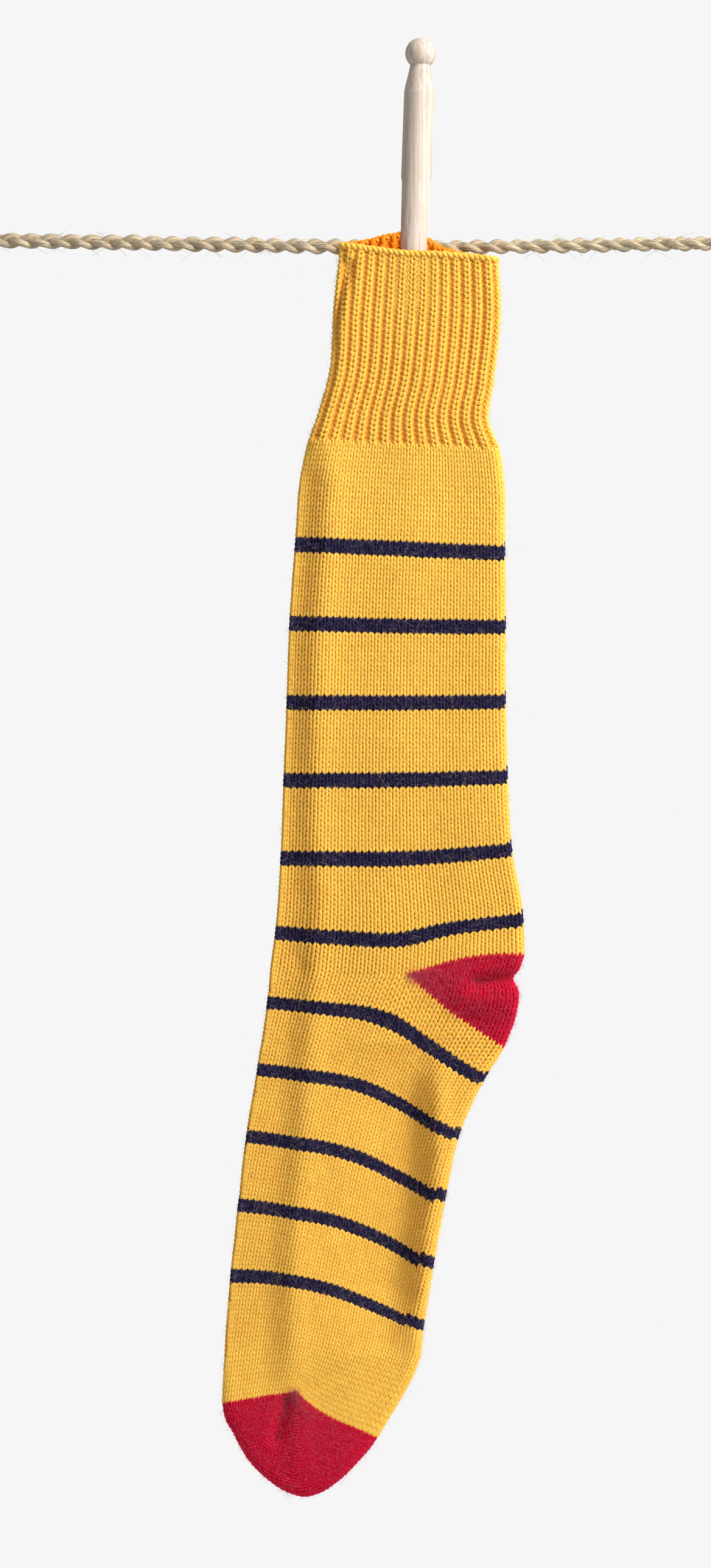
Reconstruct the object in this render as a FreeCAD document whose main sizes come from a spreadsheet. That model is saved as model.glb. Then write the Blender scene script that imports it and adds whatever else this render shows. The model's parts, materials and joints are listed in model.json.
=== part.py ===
import FreeCAD, Part

import math
import os
import sys

import Sketcher
from FreeCAD import Placement, Rotation, Vector

# A hand-knitted striped sock, hung on a plaited sisal clothes line by a turned dolly peg.
# The line runs along X through the peg's slot and ends in an eye at each side. The front of
# the sock faces -Y. The origin is the centre of the left eye's thimble.

doc = FreeCAD.newDocument("PeggedSock")

# ---- Driving dimensions (mm, degrees and counts) ---------------------------------------
SIZES = (
    ("rope_dia", 6.2, "diameter of the plaited line"),
    ("span_left", 212.8, "left eye to the peg, along X"),
    ("span_right", 162.9, "peg to the right eye, along X"),
    ("dip_left", 3.6, "how far the line falls from the left eye to the peg"),
    ("dip_right", 2.2, "how far the line falls from the right eye to the peg"),
    ("thimble_bore", 12.0, "hole of each thimble"),
    ("thimble_wall", 1.6, "wall between the hole and the groove"),
    ("thimble_width", 8.4, "width across the thimble's lips"),
    ("leg_gap", 0.1, "gap between the line and its own tail in the seizing"),
    ("seizing_len", 10.0, "length of the twine seizing behind each eye"),
    ("seizing_wall", 1.1, "thickness of the twine"),
    ("seizing_slack", 0.15, "gap between the twine and the line"),
    ("seizing_back", 1.0, "from the crotch of the eye to the seizing"),
    ("joint_gap", 0.1, "gap inside the seizing where the eye meets the line"),
    ("tail_out", 4.0, "how far the cut tail stands out of the seizing"),
    ("head_rad", 6.6, "radius of the peg's ball head"),
    ("neck_dia", 8.6, "peg's neck"),
    ("neck_len", 1.4, "straight part of the neck, half of it inside the head"),
    ("peg_dia", 13.0, "peg's shaft"),
    ("shoulder_len", 12.0, "cone between neck and shaft"),
    ("shoulder_round", 2.5, "length of the eased edge below the cone"),
    ("shoulder_ease", 0.35, "depth of that eased edge"),
    ("peg_len", 112.0, "overall length of the peg"),
    ("slot_len", 52.0, "length of the peg's slot"),
    ("throat_slope", 1.5, "height of the slot's narrowing end"),
    ("prong_wall", 3.3, "thickness of a prong at the line"),
    ("grip_depth", 22.0, "how far the prongs reach below the line"),
    ("slot_taper", 0.075, "widening of each slot wall per mm"),
    ("peg_lean", 2.0, "lean of the peg to the right"),
    ("tip_round", 0.8, "rounding of the prong tips"),
    ("line_clear", 0.5, "gap between the line and the cloth"),
    ("prong_clear", 0.3, "gap between the line and the back prong"),
    ("cloth", 1.6, "thickness of the knitted cloth"),
    ("cloth_clear", 0.6, "gap between the cloth and the front prong at the line"),
    ("prong_room", 0.9, "gap between the front prong's tip and the front of the sock"),
    ("cuff_width", 71.5, "ribbed cuff, laid flat"),
    ("leg_width", 94.0, "leg, laid flat"),
    ("foot_width", 84.5, "foot, laid flat"),
    ("mouth_drop", 2.7, "front edge of the mouth below the line"),
    ("cuff_len", 81.9, "length of the ribbed cuff"),
    ("leg_len", 226.2, "cuff to the point of the heel"),
    ("foot_len", 223.6, "point of the heel to the tip of the toe"),
    ("leg_rows", 109, "rounds of knitting in leg_len"),
    ("foot_rows", 122, "rounds of knitting in foot_len"),
    ("stripe_rows", 3, "rounds in a stripe"),
    ("plain_rows", 13, "rounds between two stripes"),
    ("first_leg_stripe", 19, "rounds above the first stripe of the leg"),
    ("first_foot_stripe", 4, "rounds from the heel's point to the first stripe of the foot"),
    ("leg_stripes", 6, "stripes above the heel"),
    ("foot_stripes", 5, "stripes below the heel"),
    ("toe_round", 97, "round of the foot where the toe begins"),
)

sheet = doc.addObject("Spreadsheet::Sheet", "Sizes")
for row, (alias, value, note) in enumerate(SIZES, start=1):
    sheet.set("A%d" % row, alias)
    sheet.set("B%d" % row, str(value))
    sheet.set("C%d" % row, note)
    sheet.setAlias("B%d" % row, alias)
doc.recompute()


def size(alias):
    """Read one driving dimension from the sheet."""
    return float(getattr(sheet, alias))


# ---- Sizes that follow from the sheet ---------------------------------------------------
rope_rad = size("rope_dia") / 2
leg_offset = rope_rad + size("leg_gap") / 2
eye_rad = size("thimble_bore") / 2 + size("thimble_wall") + rope_rad + size("leg_gap")
cross = Vector(size("span_left"), 0, leg_offset - size("dip_left"))
right_eye = Vector(
    cross.x + size("span_right"), 0, cross.z + size("dip_right") - leg_offset
)

# In Y, from the front: front of the sock, front prong, back of the sock, line, back prong.
back_face = -(rope_rad + size("line_clear"))
slot_front = back_face - size("cloth") - size("cloth_clear")
slot_back = rope_rad + size("prong_clear")
slot_half = (slot_back - slot_front) / 2
peg_middle = (slot_back + slot_front) / 2
shaft_rad = size("peg_dia") / 2
splay = (slot_half + size("prong_wall") - shaft_rad) / (size("slot_len") - size("grip_depth"))
tip_front = peg_middle - shaft_rad - splay * size("slot_len")
front_face = tip_front - size("prong_room") - size("cloth")
sock_middle = (back_face + front_face) / 2
sock_thick = back_face - front_face

leg_row = size("leg_len") / size("leg_rows")
foot_row = size("foot_len") / size("foot_rows")
cuff_end = -size("mouth_drop") - size("cuff_len")
heel_point = cuff_end - size("leg_len")
stripe_pitch = int(size("stripe_rows") + size("plain_rows"))


# ---- Helpers ----------------------------------------------------------------------------
def sketch_on(body, name, role, lift=None):
    """A sketch on one of the body's origin planes, lifted off it by an expression."""
    plane = [f for f in body.Origin.OriginFeatures if f.Role == role][0]
    sketch = body.newObject("Sketcher::SketchObject", name)
    sketch.AttachmentSupport = [(plane, "")]
    sketch.MapMode = "FlatFace"
    if lift:
        sketch.setExpression("AttachmentOffset.Base.z", lift)
    return sketch


def polygon(sketch, corners):
    """A closed polygon whose corners are bound to expressions, as (across, up) pairs."""
    count = len(corners)
    values = [(evaluate(a), evaluate(b)) for a, b in corners]
    for i in range(count):
        start = Vector(values[i][0], values[i][1], 0)
        end = Vector(values[(i + 1) % count][0], values[(i + 1) % count][1], 0)
        sketch.addGeometry(Part.LineSegment(start, end), False)
    for i in range(count):
        sketch.addConstraint(Sketcher.Constraint("Coincident", i, 2, (i + 1) % count, 1))
    for i in range(count):
        for kind, text, value in zip(("DistanceX", "DistanceY"), corners[i], values[i]):
            if text == "0":
                axis = -2 if kind == "DistanceX" else -1
                sketch.addConstraint(Sketcher.Constraint("PointOnObject", i, 1, axis))
            else:
                index = sketch.addConstraint(Sketcher.Constraint(kind, -1, 1, i, 1, value))
                sketch.setExpression("Constraints[%d]" % index, text)


def evaluate(text):
    """The present value of an expression on the sheet."""
    return float(getattr(sheet.evalExpression(text), "Value", sheet.evalExpression(text)))


def revolve(body, name, sketch, role):
    """Turn a sketch once about one of the body's origin axes."""
    axis = [f for f in body.Origin.OriginFeatures if f.Role == role][0]
    turned = body.newObject("PartDesign::Revolution", name)
    turned.Profile = sketch
    turned.ReferenceAxis = (axis, [""])
    turned.Angle = 360
    return turned


def solid_node(label, shape, place):
    """A sub-part whose shape comes from Part's own functions."""
    node = doc.addObject("Part::Feature", label)
    node.Label = label
    node.Shape = shape
    node.Placement = place
    return node


nodes = []

# ---- The line and its two eyes ----------------------------------------------------------
# Each eye is the line's own end, laid round a thimble and seized back to itself with twine.
crotch_x = math.sqrt((2 * eye_rad) ** 2 - (leg_offset + eye_rad) ** 2)
seizing_x = crotch_x + size("seizing_back")
joint_x = seizing_x + size("seizing_len") / 2
tail_x = seizing_x + size("seizing_len") + size("tail_out")


def pipe(path):
    """A round tube of the line's diameter along a wire."""
    first = path.Edges[0]
    start = first.valueAt(first.FirstParameter)
    heading = first.tangentAt(first.FirstParameter)
    ring = Part.Wire(Part.makeCircle(rope_rad, start, heading))
    return path.makePipeShell([ring], True, True)


def eye_path():
    """Centre line of an eye that opens towards +X: leg, crotch, round, crotch, tail."""
    crotch = Vector(crotch_x, 0, leg_offset + eye_rad)
    touch = crotch * 0.5
    steep = math.atan2(touch.z, touch.x)
    bend = (math.pi / 2 + steep) / 2
    dip = crotch + Vector(-eye_rad * math.cos(bend), 0, -eye_rad * math.sin(bend))
    below = [Vector(p.x, 0, -p.z) for p in (touch, dip)]
    top = Vector(crotch_x, 0, leg_offset)
    bottom = Vector(crotch_x, 0, -leg_offset)
    edges = [
        Part.LineSegment(Vector(joint_x, 0, leg_offset), top).toShape(),
        Part.Arc(top, dip, touch).toShape(),
        Part.Arc(touch, Vector(-eye_rad, 0, 0), below[0]).toShape(),
        Part.Arc(below[0], below[1], bottom).toShape(),
        Part.LineSegment(bottom, Vector(tail_x, 0, -leg_offset)).toShape(),
    ]
    return Part.Wire(edges)


eye_shape = pipe(eye_path())
for side, place in (
    ("left", Placement()),
    ("right", Placement(right_eye, Rotation(Vector(0, 0, 1), 180))),
):
    nodes.append(solid_node("line_eye_" + side, eye_shape, place))

# The line itself: two straight pulls that meet in one long arc under the peg.
line_end = joint_x + size("joint_gap")
route = [
    Vector(line_end, 0, leg_offset),
    cross,
    Vector(right_eye.x - line_end, 0, right_eye.z + leg_offset),
]
pull_in = (route[1] - route[0]).normalize()
pull_out = (route[2] - route[1]).normalize()
turn = pull_in.getAngle(pull_out)
bend_rad = 3 * size("peg_dia")
reach = bend_rad * math.tan(turn / 2)
arc_start = cross - pull_in * reach
arc_end = cross + pull_out * reach
arc_middle = cross + (pull_out - pull_in).normalize() * bend_rad * (1 / math.cos(turn / 2) - 1)
line_path = Part.Wire([
    Part.LineSegment(route[0], arc_start).toShape(),
    Part.Arc(arc_start, arc_middle, arc_end).toShape(),
    Part.LineSegment(arc_end, route[2]).toShape(),
])
line_shape = pipe(line_path)
nodes.append(solid_node("line", line_shape, Placement()))
for label, shape, path in (
    ("line", line_shape, line_path), ("eye", eye_shape, eye_path()),
):
    expected = path.Length * math.pi * rope_rad ** 2
    print("%s: length %.1f mm, volume/expected %.4f" % (
        label, path.Length, shape.Volume / expected))
print("line radius at the peg %.0f mm, round a thimble %.1f mm" % (bend_rad, eye_rad))


def thimble(side, place):
    """A turned ring with a round groove for the line, its hole along Y."""
    body = doc.addObject("PartDesign::Body", "thimble_" + side)
    body.Label = "thimble_" + side
    hole = "Sizes.thimble_bore / 2"
    rim = hole + " + Sizes.thimble_wall + Sizes.rope_dia * 0.45"
    blank = sketch_on(body, "Ring_" + side, "XY_Plane")
    half = "Sizes.thimble_width / 2"
    polygon(blank, [(hole, "-" + half), (rim, "-" + half), (rim, half), (hole, half)])
    revolve(body, "Turned_" + side, blank, "Y_Axis")
    groove = body.newObject("PartDesign::SubtractiveTorus", "Groove_" + side)
    groove.setExpression("Radius1", hole + " + Sizes.thimble_wall"
                         " + Sizes.rope_dia / 2 + Sizes.leg_gap")
    groove.setExpression("Radius2", "Sizes.rope_dia / 2 + Sizes.leg_gap")
    groove.AttachmentSupport = [(
        [f for f in body.Origin.OriginFeatures if f.Role == "XZ_Plane"][0], "")]
    groove.MapMode = "FlatFace"
    body.Placement = place
    return body


def seizing(side, place):
    """Twine wound round the line and its tail: a flat-sided sleeve along X."""
    body = doc.addObject("PartDesign::Body", "seizing_" + side)
    body.Label = "seizing_" + side
    sketch = sketch_on(body, "Wraps_" + side, "YZ_Plane")
    inside = "Sizes.rope_dia / 2 + Sizes.seizing_slack"
    for text in (inside, inside + " + Sizes.seizing_wall"):
        radius = evaluate(text)
        first = sketch.GeometryCount
        up = leg_offset
        top = Part.ArcOfCircle(
            Part.Circle(Vector(0, up, 0), Vector(0, 0, 1), radius), 0, math.pi)
        bottom = Part.ArcOfCircle(
            Part.Circle(Vector(0, -up, 0), Vector(0, 0, 1), radius), math.pi, 2 * math.pi)
        left = Part.LineSegment(Vector(-radius, up, 0), Vector(-radius, -up, 0))
        right = Part.LineSegment(Vector(radius, -up, 0), Vector(radius, up, 0))
        for curve in (top, left, bottom, right):
            sketch.addGeometry(curve, False)
        for i in range(4):
            sketch.addConstraint(Sketcher.Constraint(
                "Tangent", first + i, 2, first + (i + 1) % 4, 1))
        for arc, text_up in (
            (first, "(Sizes.rope_dia + Sizes.leg_gap) / 2"),
            (first + 2, "-(Sizes.rope_dia + Sizes.leg_gap) / 2"),
        ):
            sketch.addConstraint(Sketcher.Constraint("PointOnObject", arc, 3, -2))
            index = sketch.addConstraint(Sketcher.Constraint(
                "DistanceY", -1, 1, arc, 3, evaluate(text_up)))
            sketch.setExpression("Constraints[%d]" % index, text_up)
        index = sketch.addConstraint(Sketcher.Constraint("Radius", first, radius))
        sketch.setExpression("Constraints[%d]" % index, text)
    pad = body.newObject("PartDesign::Pad", "Sleeve_" + side)
    pad.Profile = sketch
    pad.setExpression("Length", "Sizes.seizing_len")
    offset = Placement(Vector(seizing_x, 0, 0), Rotation())
    body.Placement = place.multiply(offset)
    return body


for side, place in (
    ("left", Placement()),
    ("right", Placement(right_eye, Rotation(Vector(0, 0, 1), 180))),
):
    nodes.append(thimble(side, place))
    nodes.append(seizing(side, place))


# ---- The dolly peg ----------------------------------------------------------------------
# Its own Z runs along the shaft, with zero where the line passes through the slot.
def dolly_peg():
    """One turned piece: ball head, neck, shoulder, shaft and two splayed prongs."""
    body = doc.addObject("PartDesign::Body", "dolly_peg")
    body.Label = "dolly_peg"
    top = "(Sizes.peg_len - Sizes.grip_depth)"
    ball = "(%s - Sizes.head_rad)" % top
    neck = "(%s - sqrt(Sizes.head_rad ^ 2 - (Sizes.neck_dia / 2) ^ 2))" % ball
    split = "(Sizes.slot_len - Sizes.grip_depth)"
    half = "Sizes.peg_dia / 2"
    profile = sketch_on(body, "Shaft_profile", "XZ_Plane")
    polygon(profile, [
        ("0", split),
        (half, split),
        (half, neck + " - Sizes.shoulder_len"),
        (half + " - Sizes.shoulder_ease", neck + " - Sizes.shoulder_len + Sizes.shoulder_round"),
        ("Sizes.neck_dia / 2", neck + " - Sizes.neck_len / 2"),
        ("Sizes.neck_dia / 2", neck + " + Sizes.neck_len / 2"),
        ("0", neck + " + Sizes.neck_len / 2"),
    ])
    revolve(body, "Shaft", profile, "Z_Axis")
    head = body.newObject("PartDesign::AdditiveSphere", "Head")
    head.setExpression("Radius", "Sizes.head_rad")
    plane = [f for f in body.Origin.OriginFeatures if f.Role == "XY_Plane"][0]
    head.AttachmentSupport = [(plane, "")]
    head.MapMode = "FlatFace"
    head.setExpression("AttachmentOffset.Base.z", ball)

    # A prong is half of the shaft, carried on downwards and outwards.
    for side, sign in (("front", -1), ("back", 1)):
        sketch = sketch_on(body, "Half_" + side, "XY_Plane", split)
        arc = Part.ArcOfCircle(
            Part.Circle(Vector(0, 0, 0), Vector(0, 0, 1), shaft_rad),
            0 if sign > 0 else math.pi, math.pi if sign > 0 else 2 * math.pi)
        sketch.addGeometry(arc, False)
        ends = (arc.EndPoint, arc.StartPoint)
        sketch.addGeometry(Part.LineSegment(ends[0], ends[1]), False)
        sketch.addConstraint(Sketcher.Constraint("Coincident", 0, 2, 1, 1))
        sketch.addConstraint(Sketcher.Constraint("Coincident", 0, 1, 1, 2))
        sketch.addConstraint(Sketcher.Constraint("Coincident", 0, 3, -1, 1))
        sketch.addConstraint(Sketcher.Constraint("PointOnObject", 0, 1, -1))
        index = sketch.addConstraint(Sketcher.Constraint("Radius", 0, shaft_rad))
        sketch.setExpression("Constraints[%d]" % index, half)
        prong = body.newObject("PartDesign::Pad", "Prong_" + side)
        prong.Profile = sketch
        prong.UseCustomVector = True
        prong.Direction = Vector(0, sign * splay, -1)
        prong.AlongSketchNormal = True
        prong.setExpression("Length", "Sizes.slot_len")

    slot = sketch_on(body, "Slot_outline", "YZ_Plane")
    # Both walls pass through slot_half at the line, so a thicker line widens the whole slot.
    throat = "(%.4f - Sizes.slot_taper * (%s - Sizes.throat_slope))" % (slot_half, split)
    low = "-Sizes.grip_depth - 1"
    wide = "(%.4f + Sizes.slot_taper * (Sizes.grip_depth + 1))" % slot_half
    polygon(slot, [
        ("-" + throat + " * 0.5", split),
        (throat + " * 0.5", split),
        (throat, split + " - Sizes.throat_slope"),
        (wide, low),
        ("-" + wide, low),
        ("-" + throat, split + " - Sizes.throat_slope"),
    ])
    doc.recompute()
    before = body.Shape.Volume
    cut = body.newObject("PartDesign::Pocket", "Slot")
    cut.Profile = slot
    cut.Type = "ThroughAll"
    cut.Midplane = True
    doc.recompute()
    if body.Shape.Volume > before - 100:
        sys.exit("the slot cuts nothing")
    tips = []
    for number, edge in enumerate(body.Shape.Edges, start=1):
        low_z = -size("grip_depth") + 0.01
        if all(v.Z < low_z for v in edge.Vertexes) and edge.BoundBox.ZMax < low_z:
            tips.append("Edge%d" % number)
    rounded = body.newObject("PartDesign::Fillet", "Tip_rounding")
    rounded.Base = (cut, tips)
    rounded.setExpression("Radius", "Sizes.tip_round")
    body.Tip = rounded
    doc.recompute()
    body.Placement = Placement(
        Vector(cross.x, peg_middle, cross.z),
        Rotation(Vector(0, 1, 0), size("peg_lean")))
    return body


nodes.append(dolly_peg())


# ---- The sock ---------------------------------------------------------------------------
# It is drawn flat, with zero where the line crosses the peg. Each station gives the place
# along its section (0 at the top, 1 at the end) and the left and right edges as shares of
# that section's width. The leg's left edge is the instep, the right edge the calf and heel.
LEFT_EDGE = (
    ("cuff", 0.05, -0.451), ("cuff", 0.29, -0.484), ("cuff", 0.52, -0.495),
    ("cuff", 0.76, -0.549), ("leg", 0.00, -0.483), ("leg", 0.09, -0.525),
    ("leg", 0.26, -0.552), ("leg", 0.49, -0.580), ("leg", 0.72, -0.599),
    ("leg", 0.89, -0.627), ("foot", 0.01, -0.726), ("foot", 0.15, -0.778),
    ("foot", 0.33, -0.849), ("foot", 0.50, -0.911), ("foot", 0.70, -0.951),
    ("foot", 0.81, -0.969), ("foot", 0.88, -0.911), ("foot", 0.965, -0.748),
    ("foot", 1.00, -0.554),
)
RIGHT_EDGE = (
    ("foot", 0.965, -0.366), ("foot", 0.88, -0.160), ("foot", 0.76, -0.003),
    ("foot", 0.645, 0.071), ("foot", 0.50, 0.120), ("foot", 0.33, 0.215),
    ("foot", 0.22, 0.300), ("foot", 0.134, 0.449), ("foot", 0.052, 0.538),
    ("leg", 0.95, 0.508), ("leg", 0.86, 0.483), ("leg", 0.78, 0.445),
    ("leg", 0.63, 0.423), ("leg", 0.40, 0.417), ("leg", 0.144, 0.420),
    ("leg", 0.00, 0.390), ("cuff", 0.816, 0.455), ("cuff", 0.52, 0.495),
    ("cuff", 0.29, 0.531), ("cuff", 0.05, 0.516),
)
SECTIONS = {
    "cuff": (-size("mouth_drop"), size("cuff_len"), size("cuff_width")),
    "leg": (cuff_end, size("leg_len"), size("leg_width")),
    "foot": (heel_point, size("foot_len"), size("foot_width")),
}
mouth_room = 14.0


def edge_point(section, along, share):
    """One point of the outline, in the flat sock's own X and Z."""
    top, length, width = SECTIONS[section]
    return Vector(share * width, 0, top - along * length)


def outline(inset):
    """Closed outline of the sock, carried on above the mouth, moved inwards by inset."""
    points = [edge_point(*station) for station in LEFT_EDGE + RIGHT_EDGE]
    points.insert(0, Vector(points[0].x, 0, mouth_room))
    points.append(Vector(points[-1].x, 0, mouth_room))
    curve = Part.BSplineCurve()
    curve.interpolate(points)
    if inset:
        moved = []
        for point in points:
            tangent = curve.tangent(curve.parameter(point))[0]
            inward = Vector(-tangent.z, 0, tangent.x).normalize()
            moved.append(point + inward * inset)
        curve = Part.BSplineCurve()
        curve.interpolate(moved)
    lid = Part.LineSegment(curve.EndPoint, curve.StartPoint)
    return Part.Wire([curve.toShape(), lid.toShape()])


def pillow(inset, thick):
    """The flat sock as a solid with rounded edges all the way round."""
    near = sock_middle - thick / 2
    blank = Part.Face(outline(inset))
    blank.translate(Vector(0, near, 0))
    block = blank.extrude(Vector(0, thick, 0))
    rims = [e for e in block.Edges
            if e.BoundBox.YLength < 0.01 and e.BoundBox.ZLength > thick]
    return block.makeFillet(thick / 2 - 0.1, rims)


shell = pillow(0, sock_thick).cut(pillow(size("cloth"), sock_thick - 2 * size("cloth")))

# Lines of the knitting across the flat sock, each as (x, z) points from left to right.
far_left = -1.6 * size("leg_width")
far_right = 1.6 * size("leg_width")
knee_x = -0.37 * size("foot_width")
knee_soft = 0.25 * size("foot_width")
knee_slope = 0.56


def level(z):
    """A straight round of the leg."""
    return [(far_left, z), (far_right, z)]


def leg_round(number):
    """The line between two rounds of the leg, counted from the cuff."""
    return level(cuff_end - number * leg_row)


def foot_round(number):
    """The same for the foot, where the rounds bend down towards the sole."""
    line = []
    for x in (far_left, -0.8 * size("foot_width"), -0.55 * size("foot_width"), knee_x,
              -0.19 * size("foot_width"), 0, 0.25 * size("foot_width"),
              0.6 * size("foot_width"), far_right):
        past = x - knee_x
        drop = knee_slope / 2 * (past + math.hypot(past, knee_soft))
        line.append((x, heel_point - number * foot_row - drop))
    return line


def toe_line():
    """Where the toe begins: it climbs to one point on the instep and falls to the sole."""
    peak_x = -0.594 * size("foot_width")
    peak_z = heel_point - size("toe_round") * foot_row
    rise = 0.18
    fall = 0.53
    return [(far_left, peak_z + rise * (far_left - peak_x)), (peak_x, peak_z),
            (far_right, peak_z - fall * (far_right - peak_x))]


def drawn(line):
    """The line as one edge: straight, a corner, or a smooth curve."""
    points = [Vector(x, 0, z) for x, z in line]
    if len(points) > 3:
        curve = Part.BSplineCurve()
        curve.interpolate(points)
        return [curve.toShape()]
    return [Part.LineSegment(a, b).toShape() for a, b in zip(points, points[1:])]


def slab(upper, lower, near=None, far=None):
    """The space between two lines of the knitting, from near to far in Y."""
    near = front_face - 5 if near is None else near
    far = back_face + 5 if far is None else far
    sides = [
        Part.LineSegment(Vector(lower[0][0], 0, lower[0][1]),
                         Vector(upper[0][0], 0, upper[0][1])).toShape(),
        Part.LineSegment(Vector(lower[-1][0], 0, lower[-1][1]),
                         Vector(upper[-1][0], 0, upper[-1][1])).toShape(),
    ]
    edges = Part.sortEdges(drawn(upper) + drawn(lower) + sides)[0]
    face = Part.Face(Part.Wire(edges))
    face.translate(Vector(0, near, 0))
    return face.extrude(Vector(0, far - near, 0))


# The mouth: the front edge hangs just under the line, and the back edge is drawn up over
# the line where the peg nips it.
front_lip = [(far_left, 1.2), (-0.45 * size("cuff_width"), 1.2),
             (-0.3 * size("cuff_width"), -0.6), (-0.1 * size("cuff_width"), -size("mouth_drop")),
             (0.2 * size("cuff_width"), -1.3 * size("mouth_drop")),
             (0.5 * size("cuff_width"), -2.0 * size("mouth_drop")),
             (far_right, -2.0 * size("mouth_drop"))]
back_lip = [(far_left, 0.6), (-0.45 * size("cuff_width"), 0.6),
            (-0.3 * size("cuff_width"), 2.2), (-0.1 * size("cuff_width"), 5.0),
            (0.06 * size("cuff_width"), 4.4), (0.15 * size("cuff_width"), -1.0),
            (0.3 * size("cuff_width"), -1.3 * size("mouth_drop")),
            (0.5 * size("cuff_width"), -2.0 * size("mouth_drop")),
            (far_right, -2.0 * size("mouth_drop"))]
sky = level(mouth_room + 20)
cuff = shell.common(slab(sky, leg_round(0)))
cuff = cuff.cut(slab(sky, front_lip, far=sock_middle))
cuff = cuff.cut(slab(sky, back_lip, near=sock_middle))

bands = [("cuff_rib", cuff)]
above = leg_round(0)
plain = 0
stripe = 0
for i in range(int(size("leg_stripes"))):
    start = size("first_leg_stripe") + i * stripe_pitch
    top, bottom = leg_round(start), leg_round(start + size("stripe_rows"))
    plain += 1
    stripe += 1
    bands.append(("plain_band_%02d" % plain, shell.common(slab(above, top))))
    bands.append(("stripe_%02d" % stripe, shell.common(slab(top, bottom))))
    above = bottom

heel_x = -0.03 * size("foot_width")
heel_rise = 0.17
heel_fall = 0.74
reach_x = far_right + 20
heel_wedge = slab(
    [(heel_x, heel_point), (reach_x, heel_point + heel_rise * (reach_x - heel_x))],
    [(heel_x + 0.001, heel_point), (reach_x, heel_point - heel_fall * (reach_x - heel_x))])
for i in range(int(size("foot_stripes"))):
    start = size("first_foot_stripe") + i * stripe_pitch
    top, bottom = foot_round(start), foot_round(start + size("stripe_rows"))
    plain += 1
    stripe += 1
    band = shell.common(slab(above, top))
    if i == 0:
        bands.append(("heel_cup", band.common(heel_wedge)))
        band = band.cut(heel_wedge)
    bands.append(("plain_band_%02d" % plain, band))
    bands.append(("stripe_%02d" % stripe, shell.common(slab(top, bottom))))
    above = bottom
toe = toe_line()
bands.append(("plain_band_%02d" % (plain + 1), shell.common(slab(above, toe))))
bands.append(("toe_cap", shell.common(slab(toe, level(heel_point - 1.6 * size("foot_len"))))))

hung = Placement(cross, Rotation())
for label, shape in bands:
    if len(shape.Solids) != 1:
        sys.exit("%s is %d solids" % (label, len(shape.Solids)))
    nodes.append(solid_node(label, shape.Solids[0], hung))

# ---- Test and write ---------------------------------------------------------------------
doc.recompute()
for item in doc.Objects:
    if "Invalid" in item.State or "Error" in item.State:
        sys.exit("%s did not build: %s" % (item.Label, item.State))
os.makedirs("parts", exist_ok=True)
for node in nodes:
    if node.Shape.isNull() or not node.Shape.isValid():
        sys.exit("%s has no valid shape" % node.Label)
    node.Shape.exportStep("parts/%s.step" % node.Label)
print("%d nodes written" % len(nodes))
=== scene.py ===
"""A hand-knitted striped wool sock, hung on a plaited sisal line by a turned birch dolly peg.

Every round of the sock is modelled as its real yarn, looped stitch by stitch. The sock is
mapped as wales, the columns of stitches counted round it, and rounds, counted down it.
"""

import json
import math

import bpy
import numpy as np
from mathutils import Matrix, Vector


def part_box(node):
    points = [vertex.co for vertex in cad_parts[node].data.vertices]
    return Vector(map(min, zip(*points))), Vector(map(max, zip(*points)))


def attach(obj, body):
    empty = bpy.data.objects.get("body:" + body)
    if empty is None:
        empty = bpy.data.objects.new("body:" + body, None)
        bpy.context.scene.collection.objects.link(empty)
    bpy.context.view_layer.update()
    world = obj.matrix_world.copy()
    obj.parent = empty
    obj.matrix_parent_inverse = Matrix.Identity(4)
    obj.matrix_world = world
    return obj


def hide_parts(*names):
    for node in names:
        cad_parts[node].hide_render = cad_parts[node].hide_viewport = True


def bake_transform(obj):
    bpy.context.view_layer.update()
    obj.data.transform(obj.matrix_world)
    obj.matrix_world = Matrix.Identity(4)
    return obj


bl_info = {
    "name": "Striped sock on a line",
    "version": (1, 0, 0),
    "blender": (4, 5, 0),
    "location": "View3D > Sidebar > Sock",
    "description": "Builds a knitted sock pegged to a sisal clothes line",
    "category": "Add Mesh",
}

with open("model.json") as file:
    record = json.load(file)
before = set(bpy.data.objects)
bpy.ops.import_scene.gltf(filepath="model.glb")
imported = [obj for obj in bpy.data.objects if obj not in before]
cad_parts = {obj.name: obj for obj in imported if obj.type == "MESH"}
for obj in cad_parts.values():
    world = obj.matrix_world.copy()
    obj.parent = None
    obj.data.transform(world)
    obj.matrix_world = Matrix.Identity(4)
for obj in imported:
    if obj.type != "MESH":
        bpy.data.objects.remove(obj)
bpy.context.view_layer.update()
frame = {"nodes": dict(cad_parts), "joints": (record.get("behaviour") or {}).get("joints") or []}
JOINTS = {joint["name"]: joint for joint in frame["joints"]}
CROSSING = np.array(JOINTS["line_swing"]["pos_m"], float)
SOCK_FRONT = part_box("plain_band_02")[0][1]
SOCK_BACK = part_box("plain_band_02")[1][1]
SOCK_MIDDLE = (SOCK_FRONT + SOCK_BACK) / 2


# ---- Colours ----------------------------------------------------------------------------
def linear(code):
    """An sRGB hex colour as linear red, green, blue."""
    parts = [int(code[i:i + 2], 16) / 255 for i in (1, 3, 5)]
    return tuple(c / 12.92 if c <= 0.04045 else ((c + 0.055) / 1.055) ** 2.4 for c in parts)


def rgba(colour):
    """A colour with full opacity."""
    return (colour[0], colour[1], colour[2], 1.0)


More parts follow.
